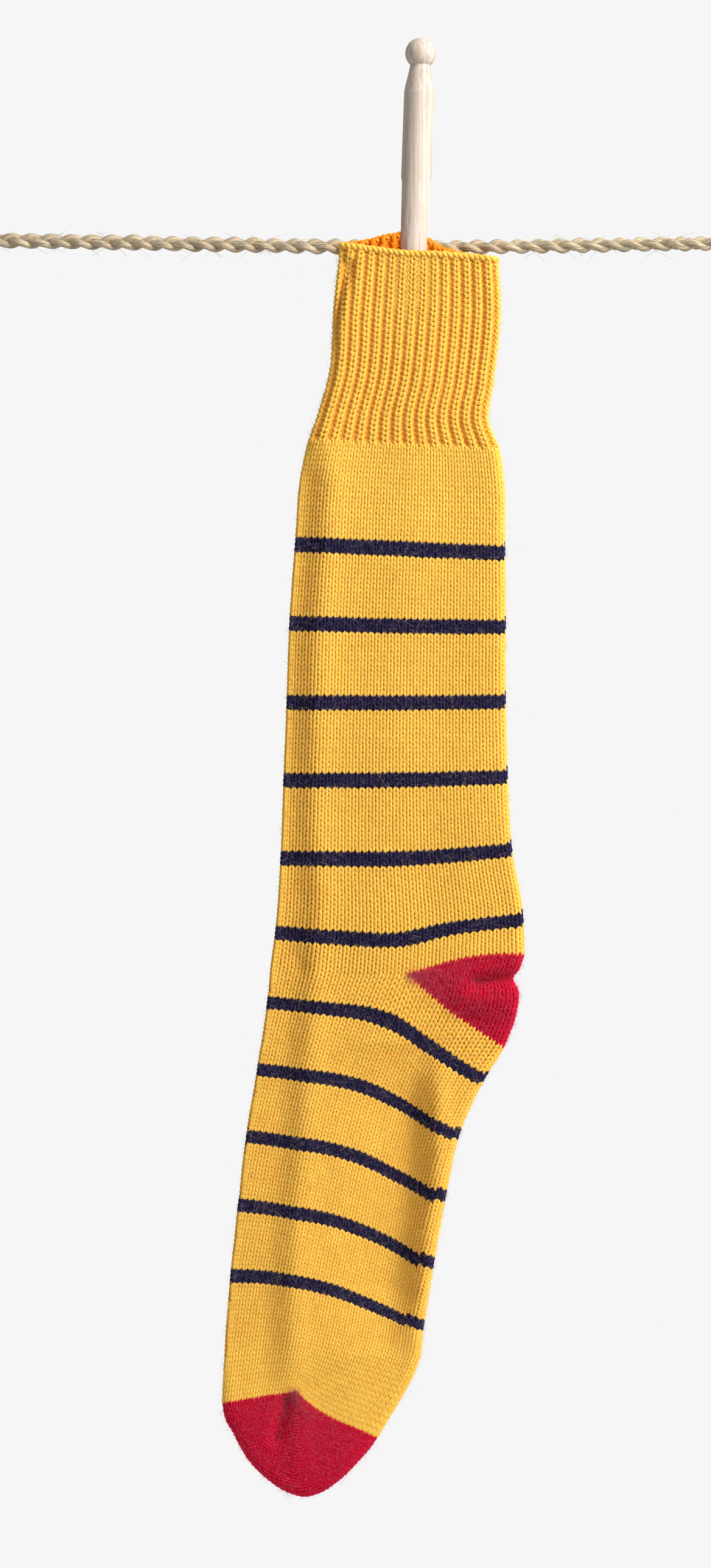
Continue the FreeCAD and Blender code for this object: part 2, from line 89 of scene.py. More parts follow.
# ---- Settings ---------------------------------------------------------------------------
class SockSettings(bpy.types.PropertyGroup):
    """Sizes and colours of the knitting."""
    yarn: bpy.props.FloatProperty(
        name="Yarn", description="Diameter of the wool yarn", default=0.00154,
        min=0.0005, max=0.003, unit="LENGTH")
    loop_depth: bpy.props.FloatProperty(
        name="Loop depth", description="How far a stitch rises and falls through the cloth",
        default=0.00043, min=0, max=0.001, unit="LENGTH")
    stitch_reach: bpy.props.FloatProperty(
        name="Stitch reach", description="Height of a loop each way, in rounds",
        default=0.86, min=0.5, max=1.2)
    stitch_flare: bpy.props.FloatProperty(
        name="Stitch flare", description="How far a loop opens at its head, in wales",
        default=0.19, min=0, max=0.3)
    rib_depth: bpy.props.FloatProperty(
        name="Rib depth", description="Half the drop from a knit to a purl column",
        default=0.00075, min=0, max=0.0015, unit="LENGTH")
    hairs: bpy.props.IntProperty(
        name="Hairs", description="Loose wool fibres on the whole sock", default=60000, min=0)
    gold: bpy.props.FloatVectorProperty(
        name="Gold wool", description="Dye of the ground colour", subtype="COLOR", size=3,
        default=linear("#FFC955"), min=0, max=1)
    navy: bpy.props.FloatVectorProperty(
        name="Navy wool", description="Dye of the stripes", subtype="COLOR", size=3,
        default=linear("#1E1A3C"), min=0, max=1)
    crimson: bpy.props.FloatVectorProperty(
        name="Crimson wool", description="Dye of the heel and toe", subtype="COLOR", size=3,
        default=linear("#C80C34"), min=0, max=1)


class LineSettings(bpy.types.PropertyGroup):
    """Sizes and colours of the line."""
    diameter: bpy.props.FloatProperty(
        name="Line", description="Width over the plait", default=0.0062,
        min=0.002, max=0.02, unit="LENGTH")
    pitch: bpy.props.FloatProperty(
        name="Plait pitch", description="Length in which a strand comes back to its side",
        default=0.0262, min=0.01, max=0.06, unit="LENGTH")
    twine: bpy.props.FloatProperty(
        name="Twine", description="Diameter of the seizing twine", default=0.00108,
        min=0.0005, max=0.003, unit="LENGTH")
    sisal: bpy.props.FloatVectorProperty(
        name="Sisal", description="Colour of the dry fibre", subtype="COLOR", size=3,
        default=linear("#DBCBB0"), min=0, max=1)
    tarred: bpy.props.FloatVectorProperty(
        name="Tarred twine", description="Colour of the seizings", subtype="COLOR", size=3,
        default=linear("#8A7350"), min=0, max=1)


class PegSettings(bpy.types.PropertyGroup):
    """Colours of the peg."""
    birch: bpy.props.FloatVectorProperty(
        name="Birch", description="Colour of the sanded wood", subtype="COLOR", size=3,
        default=linear("#D2C7BD"), min=0, max=1)
    grain: bpy.props.FloatVectorProperty(
        name="Grain", description="Colour of the darker grain", subtype="COLOR", size=3,
        default=linear("#B39E8B"), min=0, max=1)


class StageSettings(bpy.types.PropertyGroup):
    """The studio."""
    paper: bpy.props.FloatVectorProperty(
        name="Backdrop", description="Colour of the paper and the room", subtype="COLOR", size=3,
        default=linear("#F6F6F6"), min=0, max=1)
    key_power: bpy.props.FloatProperty(
        name="Key light", description="Power of the main soft light", default=50.0, min=0)
    fill_power: bpy.props.FloatProperty(
        name="Fill light", description="Power of the weaker lights", default=2.5, min=0)
    back_power: bpy.props.FloatProperty(
        name="Back light", description="Power of the light behind the line", default=14.0,
        min=0)
    air_light: bpy.props.FloatProperty(
        name="Room light", description="How strongly the pale surroundings light the sock",
        default=0.31, min=0, max=1)


# ---- Meshes -----------------------------------------------------------------------------
class Weave:
    """Collects tubes of yarn, then makes one mesh of them."""

    def __init__(self):
        self.points = []
        self.faces = []
        self.bake = []
        self.yarn = []
        self.slots = []
        self.crest = []
        self.count = 0
        self.rows = 0

    def tube(self, path, outward, radius, sides=6, slot=0, along=None, lift=0.0, span=0.001):
        """A tube through the points of path; outward is a direction off it at each one.
        lift and span say how high it lies in the cloth; the wool's finish paints shade from it,
        darker low in the cloth and lighter on top."""
        count = len(path)
        run = np.gradient(path, axis=0)
        run /= np.linalg.norm(run, axis=1)[:, None] + 1e-12
        across = np.cross(run, outward)
        across /= np.linalg.norm(across, axis=1)[:, None] + 1e-12
        up = np.cross(across, run)
        turn = np.arange(sides) * (2 * math.pi / sides)
        size = np.broadcast_to(np.asarray(radius, float), (count,))[:, None, None]
        rings = path[:, None, :] + size * (
            np.cos(turn)[None, :, None] * across[:, None, :]
            + np.sin(turn)[None, :, None] * up[:, None, :])
        high = np.broadcast_to(lift, (count,))[:, None] + size[:, :, 0] * np.sin(turn)[None, :]
        self.crest.append(np.clip(0.5 + 0.5 * high / span, 0, 1).ravel())
        first = self.count + np.arange(count - 1)[:, None] * sides
        side = np.arange(sides)[None, :]
        after = (side + 1) % sides
        quads = np.stack(
            [first + side, first + after, first + sides + after, first + sides + side], axis=-1)
        self.points.append(rings.reshape(-1, 3))
        self.faces.append(quads.reshape(-1, 4))
        share = np.arange(count) / (count - 1)
        if along is None:
            step = np.linalg.norm(np.diff(path, axis=0), axis=1)
            along = np.concatenate([[0], np.cumsum(step)])
        low = side + 0 * first
        high = low + 1
        a = np.broadcast_to(np.arange(count - 1)[:, None], low.shape)
        for store, value, scale, lift in (
            (self.bake, share, 0.9 / sides, self.rows), (self.yarn, along, 1.0 / sides, 0),
        ):
            corner = [
                np.stack([value[a], low * scale + lift], axis=-1),
                np.stack([value[a], high * scale + lift], axis=-1),
                np.stack([value[a + 1], high * scale + lift], axis=-1),
                np.stack([value[a + 1], low * scale + lift], axis=-1),
            ]
            store.append(np.stack(corner, axis=2).reshape(-1, 2))
        self.slots.append(np.full(quads.shape[0] * quads.shape[1], slot, np.int32))
        self.count += count * sides
        self.rows += 1

    def bundle(self, paths, sides, radius, slots):
        """Many short three-sided tubes at once."""
        count, steps = paths.shape[:2]
        run = np.gradient(paths, axis=1)
        run /= np.linalg.norm(run, axis=2)[:, :, None] + 1e-12
        up = np.cross(np.broadcast_to(sides[:, None, :], run.shape), run)
        up /= np.linalg.norm(up, axis=2)[:, :, None] + 1e-12
        across = np.cross(run, up)
        turn = np.arange(3) * (2 * math.pi / 3)
        size = radius * np.linspace(1.0, 0.5, steps)[None, :, None, None]
        rings = paths[:, :, None, :] + size * (
            np.cos(turn)[None, None, :, None] * across[:, :, None, :]
            + np.sin(turn)[None, None, :, None] * up[:, :, None, :])
        first = (self.count + np.arange(count)[:, None, None] * steps * 3
                 + np.arange(steps - 1)[None, :, None] * 3)
        side = np.arange(3)[None, None, :]
        after = (side + 1) % 3
        quads = np.stack([first + side, first + after, first + 3 + after, first + 3 + side],
                         axis=-1)
        self.points.append(rings.reshape(-1, 3))
        self.crest.append(np.ones(count * steps * 3))
        self.faces.append(quads.reshape(-1, 4))
        # Each hair keeps one small cell of the baking map.
        grid = int(math.ceil(math.sqrt(count)))
        cell = np.arange(count)
        left = (cell % grid)[:, None, None] / grid
        low = (cell // grid)[:, None, None] / grid
        a = np.broadcast_to(np.arange(steps - 1)[None, :, None], quads.shape[:3]) / steps
        b = np.broadcast_to(side, quads.shape[:3]) / 3
        wide, tall = 0.9 / grid / steps, 0.9 / grid / 3
        u, v = left + a * 0.9 / grid, low + b * 0.9 / grid
        corner = np.stack([np.stack([u, v], -1), np.stack([u, v + tall], -1),
                           np.stack([u + wide, v + tall], -1), np.stack([u + wide, v], -1)], 3)
        self.bake.append(corner.reshape(-1, 2))
        self.yarn.append(corner.reshape(-1, 2))
        self.slots.append(np.repeat(slots.astype(np.int32), (steps - 1) * 3))
        self.count += count * steps * 3
        self.rows += 1

    def sheet(self, lines, slot=0):
        """A thin open sheet through rows of points."""
        high, wide = lines.shape[:2]
        index = self.count + np.arange(high * wide).reshape(high, wide)
        quads = np.stack([index[:-1, :-1], index[:-1, 1:], index[1:, 1:], index[1:, :-1]],
                         axis=-1)
        self.points.append(lines.reshape(-1, 3))
        # A sheet lies below all the yarn, so the wool's finish paints it wholly in its shade
        # colour.
        self.crest.append(np.zeros(high * wide))
        self.faces.append(quads.reshape(-1, 4))
        u, v = np.meshgrid(np.linspace(0, 1, wide), np.linspace(0, 0.9, high))
        spot = np.stack([u, v + self.rows], axis=-1)
        corner = np.stack([spot[:-1, :-1], spot[:-1, 1:], spot[1:, 1:], spot[1:, :-1]], axis=2)
        self.bake.append(corner.reshape(-1, 2))
        self.yarn.append(corner.reshape(-1, 2) * 0.3)
        self.slots.append(np.full(quads.shape[0] * quads.shape[1], slot, np.int32))
        self.count += high * wide
        self.rows += 1

    def build(self, name, materials):
        """The mesh as a new object, with one map for baking and one that runs along the yarn."""
        points = np.concatenate(self.points)
        faces = np.concatenate(self.faces).astype(np.int32)
        mesh = bpy.data.meshes.new(name)
        mesh.vertices.add(len(points))
        mesh.vertices.foreach_set("co", points.astype(np.float32).ravel())
        mesh.loops.add(faces.size)
        mesh.loops.foreach_set("vertex_index", faces.ravel())
        mesh.polygons.add(len(faces))
        mesh.polygons.foreach_set("loop_start", np.arange(0, faces.size, 4, dtype=np.int32))
        mesh.polygons.foreach_set("use_smooth", np.ones(len(faces), bool))
        mesh.polygons.foreach_set("material_index", np.concatenate(self.slots))
        mesh.update(calc_edges=True)
        bake = np.concatenate(self.bake)
        bake[:, 1] /= max(self.rows, 1)
        for title, values in (("OFBake", bake), ("Yarn", np.concatenate(self.yarn))):
            layer = mesh.uv_layers.new(name=title)
            layer.data.foreach_set("uv", values.astype(np.float32).ravel())
        # How high each point lies in the cloth: the wool's finish paints shade where it is low.
        crest = mesh.attributes.new("crest", "FLOAT", "POINT")
        crest.data.foreach_set("value", np.concatenate(self.crest).astype(np.float32))
        for material in materials:
            mesh.materials.append(material)
        thing = bpy.data.objects.new(name, mesh)
        bpy.context.scene.collection.objects.link(thing)
        return thing


# ---- Materials --------------------------------------------------------------------------
def node(tree, kind, settings=None, links=None):
    """Adds a node, sets its properties and sockets, and links other nodes' outputs to it."""
    made = tree.nodes.new(kind)
    for key, value in (settings or {}).items():
        if isinstance(key, str) and hasattr(made, key):
            setattr(made, key, value)
        else:
            made.inputs[key].default_value = value
    for key, output in (links or {}).items():
        tree.links.new(output, made.inputs[key])
    return made


def blank(name):
    """An empty node material and its tree."""
    material = bpy.data.materials.new(name)
    material.use_nodes = True
    material.node_tree.nodes.clear()
    return material, material.node_tree


def wool(name, dye, shade, bright):
    """Hand-spun wool yarn: two loose plies, dull and hairy, with a soft sheen at its edges,
    painted shade in its hollows and painted highlight on its fuzz.
    """
    material, tree = blank(name)
    # Two plies turn once in about 3 mm, and each fibre is far finer than a render can show,
    # so the fibre bumps are drawn 0.25 mm apart.
    turns = node(tree, "ShaderNodeUVMap", {"uv_map": "Yarn"})
    ply = node(tree, "ShaderNodeMapping", {"Scale": (660.0, 2.0, 1.0)},
               {"Vector": turns.outputs[0]})
    plies = node(tree, "ShaderNodeTexWave", {
        "bands_direction": "DIAGONAL", "Scale": 0.32, "Distortion": 1.2, "Detail": 2.0,
        "Detail Scale": 2.0}, {"Vector": ply.outputs[0]})
    place = node(tree, "ShaderNodeTexCoord")
    fibre = node(tree, "ShaderNodeTexNoise", {"Scale": 4000.0, "Detail": 3.0,
                 "Roughness": 0.7}, {"Vector": place.outputs["Object"]})
    batch = node(tree, "ShaderNodeTexNoise", {"Scale": 160.0, "Detail": 4.0,
                 "Roughness": 0.65}, {"Vector": place.outputs["Object"]})
    # Painted shade: wool deep in the stitches and in the grooves between its plies is mixed
    # towards the darker shade colour, so it is richer there than on top.
    crest = node(tree, "ShaderNodeAttribute", {"attribute_name": "crest"})
    deep = node(tree, "ShaderNodeMapRange", {"From Min": 0.25, "From Max": 0.85},
                {"Value": crest.outputs["Fac"]})
    painted_shade_mix = node(tree, "ShaderNodeMath", {"operation": "MULTIPLY_ADD", 1: -0.12},
                {0: plies.outputs["Fac"], 2: deep.outputs[0]})
    painted_shade_mix.use_clamp = True
    tone = node(tree, "ShaderNodeMix", {"data_type": "RGBA", 6: rgba(shade),
                7: rgba(dye)}, {0: painted_shade_mix.outputs[0]})
    uneven = node(tree, "ShaderNodeValToRGB", {}, {"Fac": batch.outputs["Fac"]})
    uneven.color_ramp.elements[0].position = 0.32
    uneven.color_ramp.elements[0].color = (0.92, 0.89, 0.86, 1)
    uneven.color_ramp.elements[1].position = 0.68
    uneven.color_ramp.elements[1].color = (1.0, 1.0, 1.0, 1)
    mottled = node(tree, "ShaderNodeMix", {"data_type": "RGBA", "blend_type": "MULTIPLY",
                   0: 1.0}, {6: tone.outputs[2], 7: uneven.outputs[0]})
    # Painted highlight: small flecks are mixed towards the paler bright colour, for loose fibres
    # of fuzz that catch the light.
    lit_fuzz_mask = node(tree, "ShaderNodeMapRange", {"From Min": 0.55, "From Max": 0.8,
                 "To Max": 0.55}, {"Value": fibre.outputs["Fac"]})
    lit_fuzz_colour = node(tree, "ShaderNodeMix", {"data_type": "RGBA", 7: rgba(bright)},
                {0: lit_fuzz_mask.outputs[0], 6: mottled.outputs[2]})
    height = node(tree, "ShaderNodeMath", {"operation": "MULTIPLY_ADD", 1: 0.5},
                  {0: plies.outputs["Fac"], 2: fibre.outputs["Fac"]})
    bump = node(tree, "ShaderNodeBump", {"Strength": 0.45, "Distance": 0.0003},
                {"Height": height.outputs[0]})
    shader = node(tree, "ShaderNodeBsdfPrincipled", {
        "Roughness": 0.95, "IOR": 1.45, "Specular IOR Level": 0.12, "Sheen Weight": 0.12,
        "Sheen Roughness": 0.5, "Sheen Tint": rgba(bright), "Subsurface Weight": 0.4,
        "Subsurface Radius": (0.0007, 0.0007, 0.0007), "Subsurface Scale": 1.0},
        {"Base Color": lit_fuzz_colour.outputs[2], "Normal": bump.outputs[0]})
    node(tree, "ShaderNodeOutputMaterial", {}, {"Surface": shader.outputs[0]})
    return material


def loose_fibre(name, colour):
    """Single wool hairs that stand off the yarn: paler than it, because light goes through."""
    material, tree = blank(name)
    place = node(tree, "ShaderNodeTexCoord")
    noise = node(tree, "ShaderNodeTexNoise", {"Scale": 300.0},
                 {"Vector": place.outputs["Object"]})
    dim = tuple(0.75 * c for c in colour)
    tone = node(tree, "ShaderNodeMix", {"data_type": "RGBA", 6: rgba(dim), 7: rgba(colour)},
                {0: noise.outputs["Fac"]})
    shader = node(tree, "ShaderNodeBsdfPrincipled", {
        "Roughness": 0.6, "IOR": 1.45}, {"Base Color": tone.outputs[2]})
    node(tree, "ShaderNodeOutputMaterial", {}, {"Surface": shader.outputs[0]})
    return material


def bast(name, colour, dark, scale):
    """Sisal or hemp fibre: stiff, dry, laid side by side, with a slight silky gloss."""
    material, tree = blank(name)
    # Fibres are 0.2 mm thick; they are drawn 0.35 mm apart so that they show.
    run = node(tree, "ShaderNodeUVMap", {"uv_map": "Yarn"})
    lay = node(tree, "ShaderNodeMapping", {"Scale": (90.0, scale, 1.0)},
               {"Vector": run.outputs[0]})
    streak = node(tree, "ShaderNodeTexNoise", {"Scale": 1.0, "Detail": 4.0,
                  "Roughness": 0.65, "Distortion": 0.3}, {"Vector": lay.outputs[0]})
    place = node(tree, "ShaderNodeTexCoord")
    patch = node(tree, "ShaderNodeTexNoise", {"Scale": 120.0, "Detail": 3.0},
                 {"Vector": place.outputs["Object"]})
    tone = node(tree, "ShaderNodeValToRGB", {}, {"Fac": streak.outputs["Fac"]})
    tone.color_ramp.elements[0].position = 0.30
    tone.color_ramp.elements[0].color = rgba(dark)
    tone.color_ramp.elements[1].position = 0.62
    tone.color_ramp.elements[1].color = rgba(colour)
    weather = node(tree, "ShaderNodeValToRGB", {}, {"Fac": patch.outputs["Fac"]})
    weather.color_ramp.elements[0].position = 0.35
    weather.color_ramp.elements[0].color = (0.78, 0.80, 0.76, 1)
    weather.color_ramp.elements[1].position = 0.65
    aged = node(tree, "ShaderNodeMix", {"data_type": "RGBA", "blend_type": "MULTIPLY",
                0: 1.0}, {6: tone.outputs[0], 7: weather.outputs[0]})
    bump = node(tree, "ShaderNodeBump", {"Strength": 0.8, "Distance": 0.0004},
                {"Height": streak.outputs["Fac"]})
    shader = node(tree, "ShaderNodeBsdfPrincipled", {
        "Roughness": 0.55, "IOR": 1.5, "Sheen Weight": 0.15},
        {"Base Color": aged.outputs[2], "Normal": bump.outputs[0]})
    node(tree, "ShaderNodeOutputMaterial", {}, {"Surface": shader.outputs[0]})
    return material


def galvanised_steel():
    """Steel dipped in zinc: grey spangles with an even, fairly rough shine."""
    material, tree = blank("galvanised_steel")
    place = node(tree, "ShaderNodeTexCoord")
    # Spangles on small fittings are about 2 mm across.
    spangle = node(tree, "ShaderNodeTexVoronoi", {"Scale": 500.0},
                   {"Vector": place.outputs["Object"]})
    tone = node(tree, "ShaderNodeMix", {"data_type": "RGBA", 6: rgba(linear("#A9ADB0")),
                7: rgba(linear("#C9CDCF"))}, {0: spangle.outputs["Color"]})
    rough = node(tree, "ShaderNodeMapRange", {"To Min": 0.32, "To Max": 0.52},
                 {"Value": spangle.outputs["Distance"]})
    shader = node(tree, "ShaderNodeBsdfPrincipled", {"Metallic": 1.0},
                  {"Base Color": tone.outputs[2], "Roughness": rough.outputs[0]})
    node(tree, "ShaderNodeOutputMaterial", {}, {"Surface": shader.outputs[0]})
    return material


def sanded_birch(colour, grain):
    """Turned and sanded birch without varnish: pale, fine straight grain and small flecks."""
    material, tree = blank("sanded_birch")
    place = node(tree, "ShaderNodeTexCoord")
    # Growth lines lie about 1 mm apart across the peg and run nearly its whole length.
    length = node(tree, "ShaderNodeMapping", {"Rotation": (0, math.radians(-2.0), 0),
                  "Scale": (900.0, 900.0, 16.0)}, {"Vector": place.outputs["Object"]})
    lines = node(tree, "ShaderNodeTexNoise", {"Scale": 1.0, "Detail": 5.0,
                 "Roughness": 0.6, "Distortion": 0.4}, {"Vector": length.outputs[0]})
    broad = node(tree, "ShaderNodeMapping", {"Scale": (260.0, 260.0, 9.0)},
                 {"Vector": place.outputs["Object"]})
    bands = node(tree, "ShaderNodeTexNoise", {"Scale": 1.0, "Detail": 2.0},
                 {"Vector": broad.outputs[0]})
    # Vessels show as dark dashes 0.15 mm wide and 2 to 4 mm long.
    dash = node(tree, "ShaderNodeMapping", {"Scale": (2600.0, 2600.0, 260.0)},
                {"Vector": place.outputs["Object"]})
    vessels = node(tree, "ShaderNodeTexNoise", {"Scale": 1.0, "Detail": 2.0},
                   {"Vector": dash.outputs[0]})
    tone = node(tree, "ShaderNodeValToRGB", {}, {"Fac": lines.outputs["Fac"]})
    tone.color_ramp.elements[0].position = 0.34
    tone.color_ramp.elements[0].color = rgba(grain)
    tone.color_ramp.elements[1].position = 0.56
    tone.color_ramp.elements[1].color = rgba(colour)
    wide = node(tree, "ShaderNodeValToRGB", {}, {"Fac": bands.outputs["Fac"]})
    wide.color_ramp.elements[0].position = 0.35
    wide.color_ramp.elements[0].color = (0.90, 0.87, 0.84, 1)
    wide.color_ramp.elements[1].position = 0.62
    both = node(tree, "ShaderNodeMix", {"data_type": "RGBA", "blend_type": "MULTIPLY",
                0: 1.0}, {6: tone.outputs[0], 7: wide.outputs[0]})
    fleck = node(tree, "ShaderNodeMapRange", {"From Min": 0.60, "From Max": 0.72,
                 "To Max": 0.45}, {"Value": vessels.outputs["Fac"]})
    final = node(tree, "ShaderNodeMix", {"data_type": "RGBA", 7: rgba(linear("#B7A087"))},
                 {0: fleck.outputs[0], 6: both.outputs[2]})
    height = node(tree, "ShaderNodeMath", {"operation": "SUBTRACT"},
                  {0: lines.outputs["Fac"], 1: fleck.outputs[0]})
    bump = node(tree, "ShaderNodeBump", {"Strength": 0.35, "Distance": 0.0003},
                {"Height": height.outputs[0]})
    shader = node(tree, "ShaderNodeBsdfPrincipled", {"Roughness": 0.62, "IOR": 1.5,
                  "Specular IOR Level": 0.35},
                  {"Base Color": final.outputs[2], "Normal": bump.outputs[0]})
    node(tree, "ShaderNodeOutputMaterial", {}, {"Surface": shader.outputs[0]})
    return material


def backdrop_paper(colour):
    """Matt background paper: smooth, with a barely visible tooth."""
    material, tree = blank("backdrop_paper")
    place = node(tree, "ShaderNodeTexCoord")
    tooth = node(tree, "ShaderNodeTexNoise", {"Scale": 900.0, "Detail": 2.0},
                 {"Vector": place.outputs["Object"]})
    bump = node(tree, "ShaderNodeBump", {"Strength": 0.05, "Distance": 0.0002},
                {"Height": tooth.outputs["Fac"]})
    shader = node(tree, "ShaderNodeBsdfPrincipled", {
        "Base Color": rgba(colour), "Roughness": 0.95, "Specular IOR Level": 0.1},
        {"Normal": bump.outputs[0]})
    node(tree, "ShaderNodeOutputMaterial", {}, {"Surface": shader.outputs[0]})
    return material


# ---- The sock's map ---------------------------------------------------------------------
# All in millimetres from the crossing of line and peg, X to the right and Z up, as the flat
# sock hangs. Rounds are counted from the end of the cuff, wales from the instep edge.
WALES = 68
CUFF_WALES = 62
CUFF_ROUNDS = 38
HEEL_ROUND = 108
TOE_ROUND = 207
# From the flat sock's middle to the middle of its cloth.
CORE = 3.32
# The wale that meets the heel's turning point, how many wales the foot turns round its own
# length before the toe, and the wale where each round starts.
HEEL_WALE = 18.3
TOE_TWIST = 4.1
SEAM_WALE = 33.4
HEEL_END = (47.4, -302.4)
SOLE_END = (38.6, -342.6)
HEEL_APEX = {"front": (-2.6, -310.8), "back": (-11.0, -311.0)}
TOE_APEX = {"front": (-50.2, -488.4), "back": (-41.0, -494.8)}
TOE_ENDS = ((-82.1, -494.1), (-15.2, -508.8))

# Guide lines: a round's number, then points across the front of the sock at that round.
SHARED = (
    (-26, ((-34.6, -26.4), (0, -28.6), (37.2, -30.2))),
    (-13, ((-36.6, -54.8), (0, -56.9), (34.2, -58.2))),
    (-5, ((-41.6, -72.6), (0, -74.4), (32.3, -75.4))),
    (0, ((-45.2, -83.0), (0, -84.9), (36.4, -86.0))),
    (6, ((-48.2, -95.8), (0, -97.6), (38.4, -98.6))),
    (20.5, ((-51.0, -127.4), (0, -129.2), (39.1, -130.4))),
    (36.5, ((-53.4, -161.2), (0, -161.9), (39.4, -161.9))),
    (52.5, ((-54.6, -195.0), (0, -194.6), (39.4, -193.7))),
    (68.5, ((-55.9, -228.2), (0, -227.4), (40.2, -225.8))),
    (84.5, ((-57.2, -261.5), (0, -260.8), (42.0, -257.0))),
    (100.5, ((-59.5, -293.3), (-30, -295.2), (-7.8, -295.8), (15, -291.0), (46.9, -286.8))),
)
LEG_LAST = ((-61.5, -307.9), (-31.0, -310.4), "apex", (15.6, -305.2), (23.4, -303.4),
            (34.0, -302.2), HEEL_END)
FOOT_FIRST = ((-61.5, -307.9), (-31.0, -310.4), "apex", (15.6, -326.9), (23.4, -332.3),
              SOLE_END)
FOOT = (
    (116.5, ((-62.9, -323.0), (-33.8, -325.7), (-20.8, -327.3), (-7.8, -331.6),
             (5.2, -340.0), (18.5, -348.9), (30.4, -355.8))),
    (132.5, ((-67.2, -351.6), (-46.8, -353.8), (-33.8, -355.6), (-20.8, -358.8),
             (-7.8, -364.9), (5.5, -372.4), (19.4, -380.2))),
    (148.5, ((-71.9, -380.0), (-59.8, -381.6), (-33.8, -385.6), (-20.8, -389.9),
             (-7.8, -396.4), (13.6, -406.8))),
    (164.5, ((-75.3, -409.4), (-59.8, -411.2), (-33.8, -415.9), (-20.8, -420.6),
             (8.5, -435.4))),
    (180.5, ((-78.6, -439.7), (-59.8, -440.4), (-33.8, -445.8), (-20.8, -451.0),
             (4.2, -461.8))),
    (195.5, ((-80.9, -469.5), (-50.2, -468.4), (-25.0, -474.4), (0.2, -482.0))),
)
TOE_LINE = (TOE_ENDS[0], "apex", (-47.0, -491.9), TOE_ENDS[1])
MOUTH = {
    "front": ((-31.7, 0.4), (-21, -0.9), (-7, -2.9), (14, -3.7), (36.2, -5.9)),
    "back": ((-31.7, 0.4), (-21, 1.9), (-7, 4.8), (3, 4.4), (11, -0.6), (21, -3.4),
             (36.2, -5.9)),
}
# The right edge of the heel cup and the edge round the toe, each from its first line to its
# last. The heel's has a fold pressed into it.
HEEL_EDGE = (HEEL_END, (45.2, -308.6), (42.6, -312.6), (44.8, -318.6), (43.9, -328.0),
             SOLE_END)
TOE_EDGE = (TOE_ENDS[1], (-18.7, -513.6), (-24.4, -520.1), (-31.4, -526.9),
            (-40.2, -532.7), (-46.8, -534.3), (-53.5, -532.6), (-62.8, -526.6),
            (-69.7, -519.9), (-77.2, -507.3), (-80.8, -500.6), TOE_ENDS[0])
HEEL_TURNS = 12
TOE_TURNS = 24
SAMPLES = 121
BOW_SAMPLES = 61


def smooth(points, count):
    """Evenly spaced points along a smooth curve through the given ones."""
    given = np.array(points, float)
    step = np.maximum(np.linalg.norm(np.diff(given, axis=0), axis=1), 1e-6)
    at = np.concatenate([[0], np.cumsum(step)])
    slope = hermite_slopes(at, given)
    fine = np.linspace(0, at[-1], 40 * len(given))
    line = hermite(at, given, slope, fine)
    along = np.concatenate([[0], np.cumsum(np.linalg.norm(np.diff(line, axis=0), axis=1))])
    want = np.linspace(0, along[-1], count)
    return np.stack([np.interp(want, along, line[:, k]) for k in range(2)], axis=1)


def hermite_slopes(at, values):
    """Slopes of a smooth curve through values, at unevenly spaced places."""
    step = np.diff(at)
    chord = np.diff(values, axis=0) / step.reshape(-1, *([1] * (values.ndim - 1)))
    if len(at) == 2:
        return np.stack([chord[0], chord[0]])
    left = step[1:].reshape(-1, *([1] * (values.ndim - 1)))
    right = step[:-1].reshape(-1, *([1] * (values.ndim - 1)))
    inner = (chord[:-1] * left + chord[1:] * right) / (left + right)
    return np.concatenate([chord[:1], inner, chord[-1:]])


def hermite(at, values, slopes, want):
    """Reads a smooth curve at the places wanted; past its ends it runs on straight."""
    cell = np.clip(np.searchsorted(at, want, side="right") - 1, 0, len(at) - 2)
    width = (at[1:] - at[:-1])[cell]
    share = np.clip((want - at[cell]) / width, 0, 1)
    past = want - (at[cell] + share * width)
    extra = (1,) * (values.ndim - 1)
    t = share.reshape(-1, *extra)
    width = width.reshape(-1, *extra)
    a, b = values[cell], values[cell + 1]
    u, v = slopes[cell] * width, slopes[cell + 1] * width
    value = (
        (2 * t ** 3 - 3 * t ** 2 + 1) * a + (t ** 3 - 2 * t ** 2 + t) * u
        + (3 * t ** 2 - 2 * t ** 3) * b + (t ** 3 - t ** 2) * v)
    slope = np.where(t > 0.5, slopes[cell + 1], slopes[cell])
    return value + slope * past.reshape(-1, *extra)


def trimmed(line, margin):
    """A sampled line, shortened by margin at both ends and sampled again."""
    along = np.concatenate([[0], np.cumsum(np.linalg.norm(np.diff(line, axis=0), axis=1))])
    want = np.linspace(margin, along[-1] - margin, len(line))
    return np.stack([np.interp(want, along, line[:, k]) for k in range(2)], axis=1)


